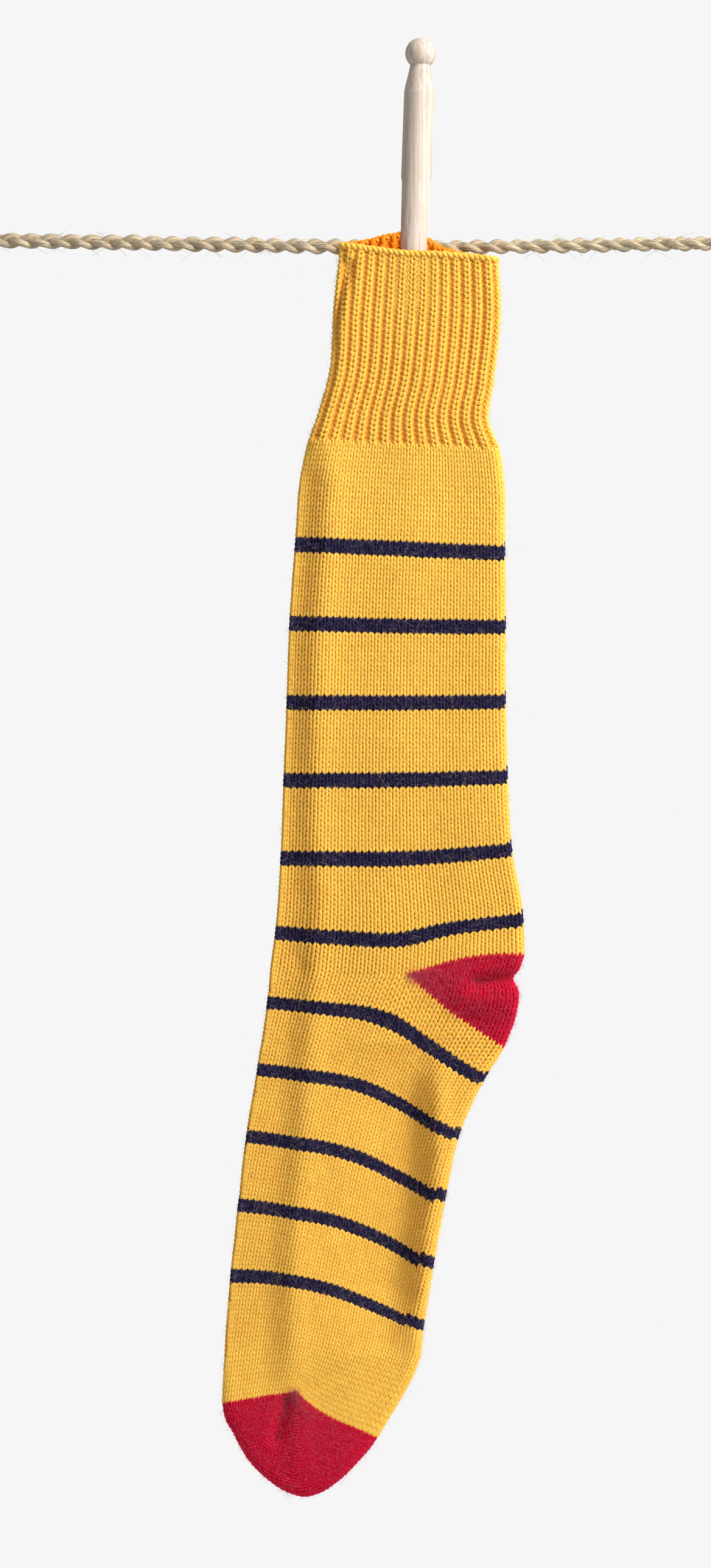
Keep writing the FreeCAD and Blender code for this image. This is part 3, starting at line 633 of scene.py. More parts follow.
class Tube:
    """A run of rounds right round the sock, drawn between guide lines on each face."""

    def __init__(self, guides, margin, bends):
        self.faces = {}
        self.bends = bends
        for side in ("front", "back"):
            rounds, lines, shares = [], [], []
            for number, points in guides[side]:
                if "apex" in points:
                    split = points.index("apex")
                    apex = guides["apex"][side][1 if number == TOE_ROUND else 0]
                    first = smooth(points[:split] + (apex,), SAMPLES)
                    second = smooth((apex,) + points[split + 1:], SAMPLES)
                    spread = np.concatenate([first, second[1:]])
                    step = np.linalg.norm(np.diff(spread, axis=0), axis=1)
                    along = np.concatenate([[0], np.cumsum(step)])
                    want = np.linspace(0, along[-1], SAMPLES)
                    line = np.stack(
                        [np.interp(want, along, spread[:, k]) for k in range(2)], axis=1)
                    share = along[SAMPLES - 1] / along[-1]
                else:
                    line = smooth(points, SAMPLES)
                    share = None
                rounds.append(number)
                lines.append(trimmed(line, margin))
                shares.append(share)
            at, values = np.array(rounds, float), np.array(lines)
            self.faces[side] = (at, values, hermite_slopes(at, values), shares)

    def place(self, wale, row, core):
        """Points of the cloth's middle: x, z, depth outwards from the flat sock's middle."""
        twist = twist_at(row)
        turn = np.mod((wale - twist) / (WALES / 2), 2.0)
        back = turn > 1
        share = np.where(back, 2 - turn, turn)
        found = np.zeros((len(wale), 3))
        for side, mask in (("front", ~back), ("back", back)):
            if not mask.any():
                continue
            at, values, slopes, shares = self.faces[side]
            lines = hermite(at, values, slopes, row[mask])
            width = np.linalg.norm(np.diff(lines, axis=1), axis=2).sum(axis=1)
            whole = width + (math.pi - 2) * core[mask]
            part = share[mask]
            for bend_round, bend_wale in self.bends[side]:
                index = list(at).index(bend_round)
                here = (bend_wale - twist_at(np.array([float(bend_round)]))[0]) / (WALES / 2)
                near = np.exp(-((row[mask] - bend_round) / 9.0) ** 2)
                full = np.linalg.norm(np.diff(values[index], axis=0), axis=1).sum()
                edge = (math.pi / 2 - 1) * CORE
                want = (full * shares[index] + edge) / (full + 2 * edge)
                moved = np.where(part < here, part * want / here,
                                 want + (part - here) * (1 - want) / (1 - here))
                part = part + (moved - part) * near
            arc = part * whole
            quarter = math.pi / 2 * core[mask]
            near_left = arc < quarter
            near_right = arc > whole - quarter
            angle = np.where(near_left, arc, np.where(near_right, whole - arc, quarter))
            angle = angle / core[mask]
            off = core[mask] * (1 - np.cos(angle))
            along = np.where(near_left, off, np.where(near_right, width - off,
                             arc - quarter + core[mask]))
            depth = core[mask] * np.sin(angle)
            fraction = np.clip(along / width, 0, 1) * (SAMPLES - 1)
            low = np.clip(fraction.astype(int), 0, SAMPLES - 2)
            rest = (fraction - low)[:, None]
            index = np.arange(len(low))
            flat = lines[index, low] * (1 - rest) + lines[index, low + 1] * rest
            found[mask, :2] = flat
            found[mask, 2] = depth * (1 if side == "front" else -1)
        return found


def twist_at(row):
    """How far the foot has turned round its own length, in wales."""
    share = np.clip((row - HEEL_ROUND) / (TOE_ROUND - HEEL_ROUND), 0, 1)
    return TOE_TWIST * share


class Fan:
    """Short rounds that turn about one point on each face, as in a heel or a toe."""

    def __init__(self, apex, edge, edge_wales, turns, margin, first, last):
        self.apex = {side: np.array(point, float) for side, point in apex.items()}
        self.bows = {}
        for side, point in self.apex.items():
            bows = []
            for line in (first, last):
                curve = smooth((tuple(point),) + line, BOW_SAMPLES)
                chord = np.linspace(0, 1, BOW_SAMPLES)[:, None]
                bows.append(curve - (curve[0] * (1 - chord) + curve[-1] * chord))
            self.bows[side] = bows
        self.edge = smooth(edge, 241)
        self.margin = margin
        self.edge_wales = edge_wales
        self.turns = turns

    def place(self, wale, row, core):
        """wale counts from the front turning point; row runs 0 to 1 from first line to last."""
        fraction = row * (len(self.edge) - 1)
        low = np.clip(np.floor(fraction).astype(int), 0, len(self.edge) - 2)
        rest = (fraction - low)[:, None]
        edge = self.edge[low] * (1 - rest) + self.edge[low + 1] * rest
        reach = self.edge_wales[0] + (self.edge_wales[1] - self.edge_wales[0]) * row
        front = wale < reach
        found = np.zeros((len(wale), 3))
        for side, mask in (("front", front), ("back", ~front)):
            if not mask.any():
                continue
            apex = self.apex[side]
            away = edge[mask] - apex
            full = np.linalg.norm(away, axis=1) - self.margin
            away /= np.linalg.norm(away, axis=1)[:, None]
            thick = core[mask]
            total = full + (math.pi / 2 - 1) * thick
            near = wale[mask] / reach[mask] if side == "front" else (
                (WALES / 2 - wale[mask]) / (WALES / 2 - reach[mask]))
            arc = near * total
            flat = full - thick
            angle = np.maximum(arc - flat, 0) / thick
            distance = np.where(arc < flat, arc, flat + thick * np.sin(angle))
            depth = thick * np.cos(angle)
            found[mask, :2] = apex + away * distance[:, None]
            far = np.clip(distance / (full + self.margin), 0, 1)
            at = np.linspace(0, 1, BOW_SAMPLES)
            for bow, weight in zip(self.bows[side], ((1 - row[mask]), row[mask])):
                pull = np.clip(weight, 0, 1.1) ** 2
                for k in range(2):
                    found[mask, k] += np.interp(far, at, bow[:, k]) * pull
            found[mask, 2] = depth * (1 if side == "front" else -1)
        return found


def near_line(points, line, spread):
    """How near points are to a line from line[0] to line[1], 1 on it and 0 far off."""
    a, b = np.array(line[0], float), np.array(line[1], float)
    run = b - a
    share = np.clip(((points - a) @ run) / (run @ run), 0, 1)
    off = np.linalg.norm(points - (a + share[:, None] * run), axis=1)
    return np.exp(-(off / spread) ** 2)


def relief(points, front):
    """How far the cloth's faces stand out or sink, in millimetres, as the sock has creased."""
    x, z = points[:, 0], points[:, 1]
    ridge = np.interp(-z, (60, 102, 168, 243, 277, 330, 440, 500),
                      (-38, -35.6, -40.3, -41.6, -39.4, -42.5, -50.7, -52.0))
    beside = np.clip((ridge - x) / 14.0, 0, 1)
    beside = beside ** 2 * (3 - 2 * beside)
    fade = np.clip((-z - 70) / 30, 0, 1) * np.clip((500 + z) / 30, 0, 1)
    lift = -5.0 * beside * fade
    lift += 0.7 * np.exp(-((x - ridge - 1.5) / 4.5) ** 2) * fade
    fold = x - np.interp(-z, (345, 363, 389, 410, 420, 447, 470),
                         (3.5, 3.5, 3.8, 1.2, -1.0, -2.2, -8.0))
    step = 1 / (1 + np.exp((fold - 0.5) / 2.0))
    step *= np.exp(-(np.clip(-6 - fold, 0, None) / 26) ** 2)
    rise = 1 / (1 + np.exp(-(fold - 4.5) / 1.2)) * np.exp(-((fold - 5.5) / 6) ** 2)
    kept = np.clip((-z - 340) / 28, 0, 1) * np.clip((474 + z) / 30, 0, 1)
    lift += (2.6 * rise - 9.0 * step) * kept
    lift -= 1.4 * near_line(points, ((24.0, -331), (6.0, -346)), 7.0)
    lift -= 5.0 * near_line(points, ((46.0, -312.0), (27.0, -314.2)), 3.0)
    lift += 2.2 * near_line(points, ((38.0, -322.0), (22.0, -321.0)), 5.5)
    lift -= 3.4 * near_line(points, ((-54.0, -492.4), (-58.8, -508.0)), 3.0)
    lift += 0.8 * near_line(points, ((-48.0, -498.0), (-50.0, -516.0)), 5.0)
    lift -= 1.3 * near_line(points, ((-48.6, -305.0), (-48.2, -307.6)), 3.0)
    lift -= 3.0 * near_line(points, ((-27.6, -8.0), (-44.2, -76.8)), 1.9)
    lift -= 0.9 * np.clip((-25.5 - 0.235 * (-z - 8) - x) / 6.0, 0, 1) * np.clip(
        (z + 84) / 12, 0, 1)
    lift += 0.55 * np.sin(x / 9.0 + z / 31.0) * np.sin(z / 23.0 - x / 17.0 + 1.0)
    flat = near_line(points, ((0.0, 6.0), (-0.8, -24.0)), 9.0)
    calm = 0.35 * np.sin(x / 13.0 - z / 41.0 + 2.0)
    # The front can sink only until it lies on the back, which bulges a little behind a fold.
    bulge = 4.0 * step * kept
    deepest = 2 * CORE - 1.9 + bulge
    lift = np.where(lift < 0, -deepest * np.tanh(-lift / deepest), lift)
    return np.where(front, lift * (1 - flat), (calm + bulge) * (1 - flat))


# ---- Knitting ---------------------------------------------------------------------------
def margin_of(settings):
    """From the yarn's middle at the sock's edge to its outer side, in millimetres."""
    return (settings.loop_depth + settings.yarn / 2) * 1000 * 0.9


def cloth_point(region, wale, row):
    """Middle of the cloth and the direction out of it, both in the flat sock's frame."""
    core = np.full(len(wale), CORE)
    step = 0.02
    here = region(wale, row, core)
    right = region(wale + step, row, core)
    below = region(wale, row + step, core)

    def lifted(found):
        """The cloth with its creases."""
        edge = np.clip(np.abs(found[:, 2]) / CORE, 0, 1)
        rise = relief(found[:, :2], found[:, 2] > 0) * edge
        depth = found[:, 2] + rise * np.sign(found[:, 2])
        return np.stack([found[:, 0], -depth, found[:, 1]], axis=1)

    here, right, below = lifted(here), lifted(right), lifted(below)
    out = np.cross(below - here, right - here)
    out /= np.linalg.norm(out, axis=1)[:, None] + 1e-12
    return here, out


def hung(points):
    """From the flat sock's millimetres to the frame's metres."""
    return points * 0.001 + np.array([CROSSING[0], SOCK_MIDDLE, CROSSING[2]])


def wander(stitch, seed, size):
    """A small slow change along a round, different in each."""
    dice = np.random.default_rng(seed)
    value = np.zeros_like(stitch)
    for pace in (0.23, 0.71, 1.9, 3.1):
        value += np.sin(stitch * pace + dice.uniform(0, 6.3)) * dice.uniform(0.3, 1.0)
    return value * size * 0.5


def knit_round(weave, settings, region, row, start, end, seed, ribbed=False, slot=0,
               spiral=1.0, steps=12):
    """One course of stitches from wale start to wale end, as one length of yarn."""
    count = int(round((end - start) * steps)) + 1
    stitch = np.linspace(start, end, count)
    t = 2 * math.pi * stitch
    sway = 0.24 if ribbed else settings.stitch_flare
    wale = stitch + sway * np.sin(2 * t) + wander(stitch, seed, 0.035)
    rib = wale
    if ribbed:
        # Knit columns spread over the ridges and purl columns close up between them.
        rib = wale - 0.5 + 0.23 * np.sin(math.pi * (wale - 0.5))
        wale = (rib + 0.5) * WALES / CUFF_WALES
    drop = settings.stitch_reach * np.cos(t) + wander(stitch, seed + 7, 0.06)
    climb = ((stitch - start) / (end - start) - 0.5) * spiral
    base, out = cloth_point(region, wale, row + climb + drop)
    depth = -settings.loop_depth * 1000 * np.cos(2 * t)
    if ribbed:
        column = np.cos(math.pi * rib)
        calm = near_line(base[:, [0, 2]], ((0.0, 8.0), (-0.8, -22.0)), 11.0)
        lift = settings.rib_depth * 1000 * (1 - 0.75 * calm)
        depth = depth * np.clip(column * 1.6, -1, 1) + lift * (column - 0.35)
    path = base + out * (depth + wander(stitch, seed + 3, 0.05))[:, None]
    radius = settings.yarn / 2 * (1 + wander(stitch * 2.3, seed + 11, 0.06))
    if ribbed:
        radius = radius * 0.97
    # How high the yarn lies here sets how much painted shade the wool's finish gives it.
    weave.tube(hung(path), out, radius, slot=slot, lift=(depth + 0.1) / 1000, span=0.0012)


def web(weave, region, rows, start, end, ribbed=False, lift=0.0, slot=0):
    """A sheet behind the loops of these rounds, standing for the wool's own fuzz in the gaps,
    coloured wholly in the wool's painted shade colour.
    """
    wale = np.linspace(start, end, int((end - start) * 2) + 1)
    if ribbed:
        wale = np.linspace(start, end, int(CUFF_WALES * 4) + 1)
    lines = []
    for row in rows:
        base, out = cloth_point(region, wale, np.full(len(wale), float(row)))
        sunk = np.full(len(wale), -0.3)
        if ribbed:
            calm = near_line(base[:, [0, 2]], ((0.0, 8.0), (-0.8, -22.0)), 11.0)
            column = np.cos(math.pi * (wale * CUFF_WALES / WALES - 0.5))
            sunk += lift * (1 - 0.75 * calm) * (column - 0.35)
        lines.append(hung(base + out * sunk[:, None]))
    weave.sheet(np.array(lines), slot)


def cast_on(weave, settings, region, slot=0):
    """The first edge of the sock: two strands of yarn turned round each other."""
    stitch = np.linspace(0, WALES, WALES * 10 + 1)
    for part in (0.0, math.pi):
        turn = 2 * math.pi * stitch * 0.45 + part + wander(stitch, 77, 0.5)
        base, out = cloth_point(region, stitch, np.full(len(stitch), -CUFF_ROUNDS + 0.12)
                                + 0.26 * np.sin(turn) + wander(stitch, 78, 0.06))
        path = base + out * (0.15 + 0.6 * np.cos(turn))[:, None]
        weave.tube(hung(path), out, settings.yarn * 0.56, slot=slot, lift=0.0006)


def sock_regions(settings):
    """The parts of the sock's map: leg, foot, heel and toe."""
    margin = margin_of(settings)
    leg_guides = {side: ((-CUFF_ROUNDS, MOUTH[side]),) + SHARED + ((HEEL_ROUND, LEG_LAST),)
                  for side in ("front", "back")}
    foot_guides = {side: ((HEEL_ROUND, FOOT_FIRST),) + FOOT + ((TOE_ROUND, TOE_LINE),)
                   for side in ("front", "back")}
    apex = {side: (HEEL_APEX[side], TOE_APEX[side]) for side in ("front", "back")}
    leg_guides["apex"] = apex
    foot_guides["apex"] = apex
    heel_back = WALES - (HEEL_WALE + WALES / 2)
    toe_back = WALES + TOE_TWIST - (HEEL_WALE + WALES / 2) + TOE_TWIST
    leg = Tube(leg_guides, margin, {
        "front": ((HEEL_ROUND, HEEL_WALE),), "back": ((HEEL_ROUND, heel_back),)})
    foot = Tube(foot_guides, margin, {
        "front": ((HEEL_ROUND, HEEL_WALE), (TOE_ROUND, HEEL_WALE)),
        "back": ((HEEL_ROUND, heel_back), (TOE_ROUND, toe_back))})
    half = WALES / 2
    heel = Fan(HEEL_APEX, HEEL_EDGE, (half - HEEL_WALE, half - HEEL_WALE), HEEL_TURNS, margin,
               LEG_LAST[3:], FOOT_FIRST[3:])
    toe_right = half - (HEEL_WALE - TOE_TWIST)
    toe = Fan(TOE_APEX, TOE_EDGE, (toe_right, half - toe_right), TOE_TURNS, margin,
              TOE_LINE[2:], TOE_LINE[:1])
    return leg, foot, heel, toe


def knit_fan(weave, settings, fan, seed, slot=0):
    """Short rounds of a heel or toe: they shorten to the turn, then lengthen again."""
    half = WALES / 4
    turns = fan.turns

    def share_of(wale):
        """How far a wale lies from the turning points, 0 to 1."""
        return np.clip(1 - np.abs(wale - half) / half, 0.02, 1)

    def first(wale, row, core):
        """The half that narrows."""
        return fan.place(wale, row / (2 * turns * share_of(wale)), core)

    def second(wale, row, core):
        """The half that widens."""
        return fan.place(wale, 1 - (2 * turns - row) / (2 * turns * share_of(wale)), core)

    for number in range(2 * turns):
        row = number + 0.5
        narrow = number < turns
        depth = row if narrow else 2 * turns - row
        start = max(0.45, half * depth / turns)
        end = 2 * half - start
        knit_round(weave, settings, first if narrow else second, row, round(start * 2) / 2,
                   round(end * 2) / 2, seed + number, slot=slot, spiral=0.0)
    web(weave, fan.place, np.linspace(0, 1, 2 * turns + 1), 0.1, WALES / 2 - 0.1, slot=slot)


# ---- Pieces of the sock -----------------------------------------------------------------
# Each stripe is three rounds: six stripes above the heel and five below it.
STRIPE_ROUNDS = [19 + 16 * i for i in range(6)] + [115 + 16 * i for i in range(5)]
STRIPE_DEPTH = 3


def is_navy(row):
    """True if this round of the leg or foot is in a navy stripe."""
    return any(first <= row < first + STRIPE_DEPTH for first in STRIPE_ROUNDS)


def dressed(thing, body, nodes):
    """Gives a finished piece its body and hides the CAD solids that it stands for."""
    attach(thing, body)
    if nodes:
        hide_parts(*nodes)


def bend_with_ankle(thing, nodes):
    """For cloth at the ankle that rides on no body: bakes its place into its mesh and hides its
    CAD solids.
    """
    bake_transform(thing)
    if nodes:
        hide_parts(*nodes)


def wools():
    """The three wools, made once."""
    settings = bpy.context.scene.sock_settings
    made = {}
    # Each wool has its dye, a darker colour painted as shade deep in the stitches, and a paler
    # colour painted as highlight on its fuzz, which also tints its sheen.
    for name, dye, shade, bright in (
        ("gold", settings.gold, "#FF8A0A", "#FFE39A"),
        ("navy", settings.navy, "#120E26", "#6A6488"),
        ("crimson", settings.crimson, "#A00322", "#D84A66"),
    ):
        title = name + "_hand_spun_wool"
        found = bpy.data.materials.get(title)
        made[name] = found or wool(title, tuple(dye), linear(shade), linear(bright))
    return made


class Band:
    """A run of whole rounds of one colour."""

    def __init__(self, name, rounds, wool_name, body, node_name):
        self.name = name
        self.rounds = rounds
        self.wool = wool_name
        self.body = body
        self.node = node_name


def bands():
    """Every coloured band of leg and foot, from the cuff to the toe."""
    made = []
    edge = 0
    body = "leg"
    for number, first in enumerate(STRIPE_ROUNDS, start=1):
        body = "leg" if number < 6 else "foot"
        plain = "plain_band_%02d" % number
        made.append(Band("gold_band_%02d" % number, (edge, first), "gold",
                         "ankle" if number == 6 else body, plain))
        edge = first + STRIPE_DEPTH
        made.append(Band("navy_stripe_%02d" % number, (first, edge), "navy", body,
                         "stripe_%02d" % number))
    made.append(Band("gold_band_12", (edge, TOE_ROUND), "gold", "foot", "plain_band_12"))
    return made


def knit_band(band):
    """Knits one band and gives it its body."""
    settings = bpy.context.scene.sock_settings
    leg, foot = sock_regions(settings)[:2]
    weave = Weave()
    for row in range(*band.rounds):
        region = leg.place if row < HEEL_ROUND else foot.place
        # Rounds climb as a spiral, except beside the heel and toe, where they lie level.
        calm = min(abs(row + 0.5 - HEEL_ROUND), abs(row + 0.5 - TOE_ROUND)) / 7
        knit_round(weave, settings, region, row + 0.5, SEAM_WALE, SEAM_WALE + WALES,
                   40 * row + 11, spiral=min(1.0, calm))
    for region, first, last in ((leg.place, -99, HEEL_ROUND), (foot.place, HEEL_ROUND, 999)):
        low, high = max(band.rounds[0], first), min(band.rounds[1], last)
        if high > low:
            web(weave, region, np.linspace(low, high, high - low + 1), 0, WALES)
    thing = weave.build(band.name, [wools()[band.wool]])
    if band.body == "ankle":
        bend_with_ankle(thing, [band.node])
    else:
        dressed(thing, band.body, [band.node])


class SOCK_OT_ribbed_cuff(bpy.types.Operator):
    """Knits the ribbed cuff with its cast-on edge"""
    bl_idname = "sock.ribbed_cuff"
    bl_label = "Ribbed cuff"

    def execute(self, context):
        settings = context.scene.sock_settings
        leg = sock_regions(settings)[0]
        for part, (first, last) in enumerate(((-CUFF_ROUNDS, -19), (-19, 0)), start=1):
            weave = Weave()
            for row in range(first, last):
                knit_round(weave, settings, leg.place, row + 0.5, 30.0, 30.0 + CUFF_WALES,
                           40 * row + 5000, ribbed=True,
                           spiral=min(1.0, (row + CUFF_ROUNDS) / 8))
            web(weave, leg.place, np.linspace(first, last, last - first + 1), 0, WALES, True,
                settings.rib_depth * 1000)
            if part == 1:
                cast_on(weave, settings, leg.place)
            thing = weave.build("ribbed_cuff_%d" % part, [wools()["gold"]])
            dressed(thing, "leg", ["cuff_rib"])
        return {"FINISHED"}


class SOCK_OT_leg(bpy.types.Operator):
    """Knits the gold bands and navy stripes of the leg, down to the ankle"""
    bl_idname = "sock.leg"
    bl_label = "Leg"

    def execute(self, context):
        for band in bands():
            if band.body == "leg":
                knit_band(band)
        return {"FINISHED"}


class SOCK_OT_ankle(bpy.types.Operator):
    """Knits the gold band at the ankle, which rides on no body"""
    bl_idname = "sock.ankle"
    bl_label = "Ankle"

    def execute(self, context):
        for band in bands():
            if band.body == "ankle":
                knit_band(band)
        return {"FINISHED"}


class SOCK_OT_foot(bpy.types.Operator):
    """Knits the gold bands and navy stripes of the foot"""
    bl_idname = "sock.foot"
    bl_label = "Foot"

    def execute(self, context):
        for band in bands():
            if band.body == "foot":
                knit_band(band)
        return {"FINISHED"}


class SOCK_OT_heel(bpy.types.Operator):
    """Knits the crimson heel in short rounds"""
    bl_idname = "sock.heel"
    bl_label = "Heel"

    def execute(self, context):
        settings = context.scene.sock_settings
        weave = Weave()
        knit_fan(weave, settings, sock_regions(settings)[2], 9000)
        thing = weave.build("crimson_heel", [wools()["crimson"]])
        dressed(thing, "foot", ["heel_cup"])
        return {"FINISHED"}


class SOCK_OT_toe(bpy.types.Operator):
    """Knits the crimson toe in short rounds"""
    bl_idname = "sock.toe"
    bl_label = "Toe"

    def execute(self, context):
        settings = context.scene.sock_settings
        weave = Weave()
        knit_fan(weave, settings, sock_regions(settings)[3], 9500)
        thing = weave.build("crimson_toe", [wools()["crimson"]])
        dressed(thing, "foot", ["toe_cap"])
        return {"FINISHED"}


def tuft(weave, dice, roots, outs, slots):
    """Loose fibres from roots: each rises off the cloth, then curls over."""
    count = len(roots)
    aim = dice.normal(size=(count, 3))
    aim -= outs * (aim * outs).sum(axis=1)[:, None]
    aim /= np.linalg.norm(aim, axis=1)[:, None] + 1e-9
    side = np.cross(outs, aim)
    bend = dice.uniform(0.3, 1.3, count)[:, None, None]
    curl = 0.5 * dice.normal(size=count)[:, None, None]
    reach = (0.0009 + dice.gamma(2.0, 0.00062, count))[:, None, None]
    t = np.linspace(0, 1, 6)[None, :, None]
    paths = roots[:, None, :] + reach * (
        outs[:, None, :] * (0.75 * t * (1.1 - 0.6 * bend * t))
        + aim[:, None, :] * (bend * t ** 1.3) + side[:, None, :] * (curl * t ** 2))
    weave.bundle(paths, side, 0.00003, slots)


class SOCK_OT_wool_hairs(bpy.types.Operator):
    """Adds the loose fibres that stand off the wool"""
    bl_idname = "sock.wool_hairs"
    bl_label = "Wool hairs"

    def execute(self, context):
        settings = context.scene.sock_settings
        leg, foot, heel, toe = sock_regions(settings)
        gold = loose_fibre("gold_wool_hair", linear("#FFD070"))
        pale = loose_fibre("pale_wool_hair", linear("#9A8FA0"))
        rosy = loose_fibre("crimson_wool_hair", linear("#E05A72"))
        zones = (
            ("hairs_of_cuff_and_leg", leg.place, (-CUFF_ROUNDS, 86), "leg"),
            ("hairs_of_ankle", leg.place, (86, 99), "ankle"),
            ("hairs_of_instep", leg.place, (99, HEEL_ROUND), "foot"),
            ("hairs_of_foot", foot.place, (HEEL_ROUND, TOE_ROUND), "foot"),
            ("hairs_of_heel", heel.place, (0.02, 0.98), "foot"),
            ("hairs_of_toe", toe.place, (0.02, 0.98), "foot"),
        )
        for number, (name, region, rows, body) in enumerate(zones):
            dice = np.random.default_rng(100 + number)
            fan = name.endswith(("heel", "toe"))
            count = int(settings.hairs * (rows[1] - rows[0]) / 260)
            if fan:
                count = settings.hairs // 11
            wale = dice.uniform(0, WALES / 2 if fan else WALES, count)
            row = dice.uniform(rows[0], rows[1], count)
            base, out = cloth_point(region, wale, row)
            roots = hung(base + out * 0.9)
            weave = Weave()
            navy = np.array([is_navy(value) for value in row], int)
            tuft(weave, dice, roots, out, np.full(count, 2) if fan else navy)
            thing = weave.build(name, [gold, pale, rosy])
            if body == "ankle":
                bend_with_ankle(thing, [])
            else:
                dressed(thing, body, [])
        return {"FINISHED"}


# ---- The line ---------------------------------------------------------------------------
LINE_ROUTE = ((0.02259, 0, 0.00315), (0.1758, 0, 0.00025), (0.2128, 0, -0.00045),
              (0.2498, 0, 0.00013), (0.35311, 0, 0.00175))
EYE_ROUTE = ((0.02249, 0, 0.00315), (0.01211, 0, 0.00315), (0.00447, 0, 0.01079),
             (-0.00447, 0, 0.01079), (-0.01079, 0, 0.00447), (-0.01079, 0, -0.00447),
             (-0.00447, 0, -0.01079), (0.00447, 0, -0.01079), (0.01211, 0, -0.00315),
             (0.03149, 0, -0.00315))


def smooth_route(points):
    """Points along the smooth curve that the line lies on."""
    curve = bpy.data.curves.new("route", "CURVE")
    curve.dimensions = "3D"
    curve.resolution_u = 48
    spline = curve.splines.new("NURBS")
    spline.points.add(len(points) - 1)
    for point, place in zip(spline.points, points):
        point.co = (place[0], place[1], place[2], 1)
    spline.order_u = 3
    spline.use_endpoint_u = True
    holder = bpy.data.objects.new("route", curve)
    mesh = bpy.data.meshes.new_from_object(holder)
    line = np.array([vertex.co for vertex in mesh.vertices], float)
    bpy.data.meshes.remove(mesh)
    bpy.data.objects.remove(holder)
    bpy.data.curves.remove(curve)
    return line


def even(line, step):
    """The same line with points a given step apart, and the distance along it."""
    along = np.concatenate([[0], np.cumsum(np.linalg.norm(np.diff(line, axis=0), axis=1))])
    at = np.linspace(0, along[-1], int(along[-1] / step) + 1)
    return np.stack([np.interp(at, along, line[:, k]) for k in range(3)], axis=1), at


def plait(weave, line, settings, turned, seed):
    """Three strands plaited along a line; turned is the plait's own turn along it."""
    path, at = even(line, 0.0008)
    scale = settings.diameter / 0.0062
    run = np.gradient(path, axis=0)
    run /= np.linalg.norm(run, axis=1)[:, None]
    deep = np.tile([0.0, -1.0, 0.0], (len(path), 1))
    wide = np.cross(run, deep)
    angle = turned(at / at[-1])
    a = wide * np.cos(angle)[:, None] + deep * np.sin(angle)[:, None]
    b = deep * np.cos(angle)[:, None] - wide * np.sin(angle)[:, None]
    dice = np.random.default_rng(seed)
    for strand in range(3):
        phase = 2 * math.pi * (at / settings.pitch + strand / 3)
        loose = 1 + 0.05 * np.sin(at * 90 + dice.uniform(0, 6))
        side = 0.00172 * scale * np.sin(phase) * loose
        depth = 0.00120 * scale * np.sin(2 * phase)
        radius = 0.00154 * scale * (1 + 0.06 * np.sin(at * 130 + dice.uniform(0, 6))
                                    + 0.10 * np.cos(2 * phase))
        centre = path + a * side[:, None] + b * depth[:, None]
        weave.tube(centre, deep, radius * 0.93, sides=14)
        # Loose bast on the strand, drawn as 22 fibres that turn slowly round it.
        for fibre in range(22):
            roll = 2 * math.pi * (at / 0.055 + fibre / 22 + 0.02 * dice.normal())
            roll = roll + 0.25 * np.sin(at * dice.uniform(60, 200) + dice.uniform(0, 6))
            size = radius * (0.93 + 0.05 * np.sin(at * dice.uniform(80, 300)))
            place = centre + a * (size * np.cos(roll))[:, None]
            place += b * (size * np.sin(roll))[:, None]
            weave.tube(place, deep, 0.00016 * dice.uniform(0.7, 1.35), sides=4)


# Half the stretch of line that the sock rubs, in metres.
RUBBED_HALF = 0.048


def strays(weave, line, count, seed):
    """Broken sisal fibres that stick out of the plait."""
    path = even(line, 0.0008)[0]
    dice = np.random.default_rng(seed)
    for _ in range(count):
        spot = dice.integers(8, len(path) - 8)
        run = path[spot + 1] - path[spot]
        run /= np.linalg.norm(run)
        out = dice.normal(size=3)
        out -= run * (out @ run)
        out /= np.linalg.norm(out)
        reach = dice.uniform(0.002, 0.0075)
        lean = dice.uniform(0.6, 2.0) * dice.choice((-1, 1))
        # The wool has rubbed the line smooth where the sock hangs.
        if abs(path[spot][0] - CROSSING[0]) < RUBBED_HALF:
            continue
        t = np.linspace(0, 1, 7)[:, None]
        hair_path = path[spot] + out * 0.0024 + reach * (
            out * t * 0.55 + run * lean * t * 0.7 + np.array([0, 0, -0.12]) * t ** 2)
        weave.tube(hair_path, np.broadcast_to(np.cross(out, run), hair_path.shape), 0.00005,
                   sides=3)


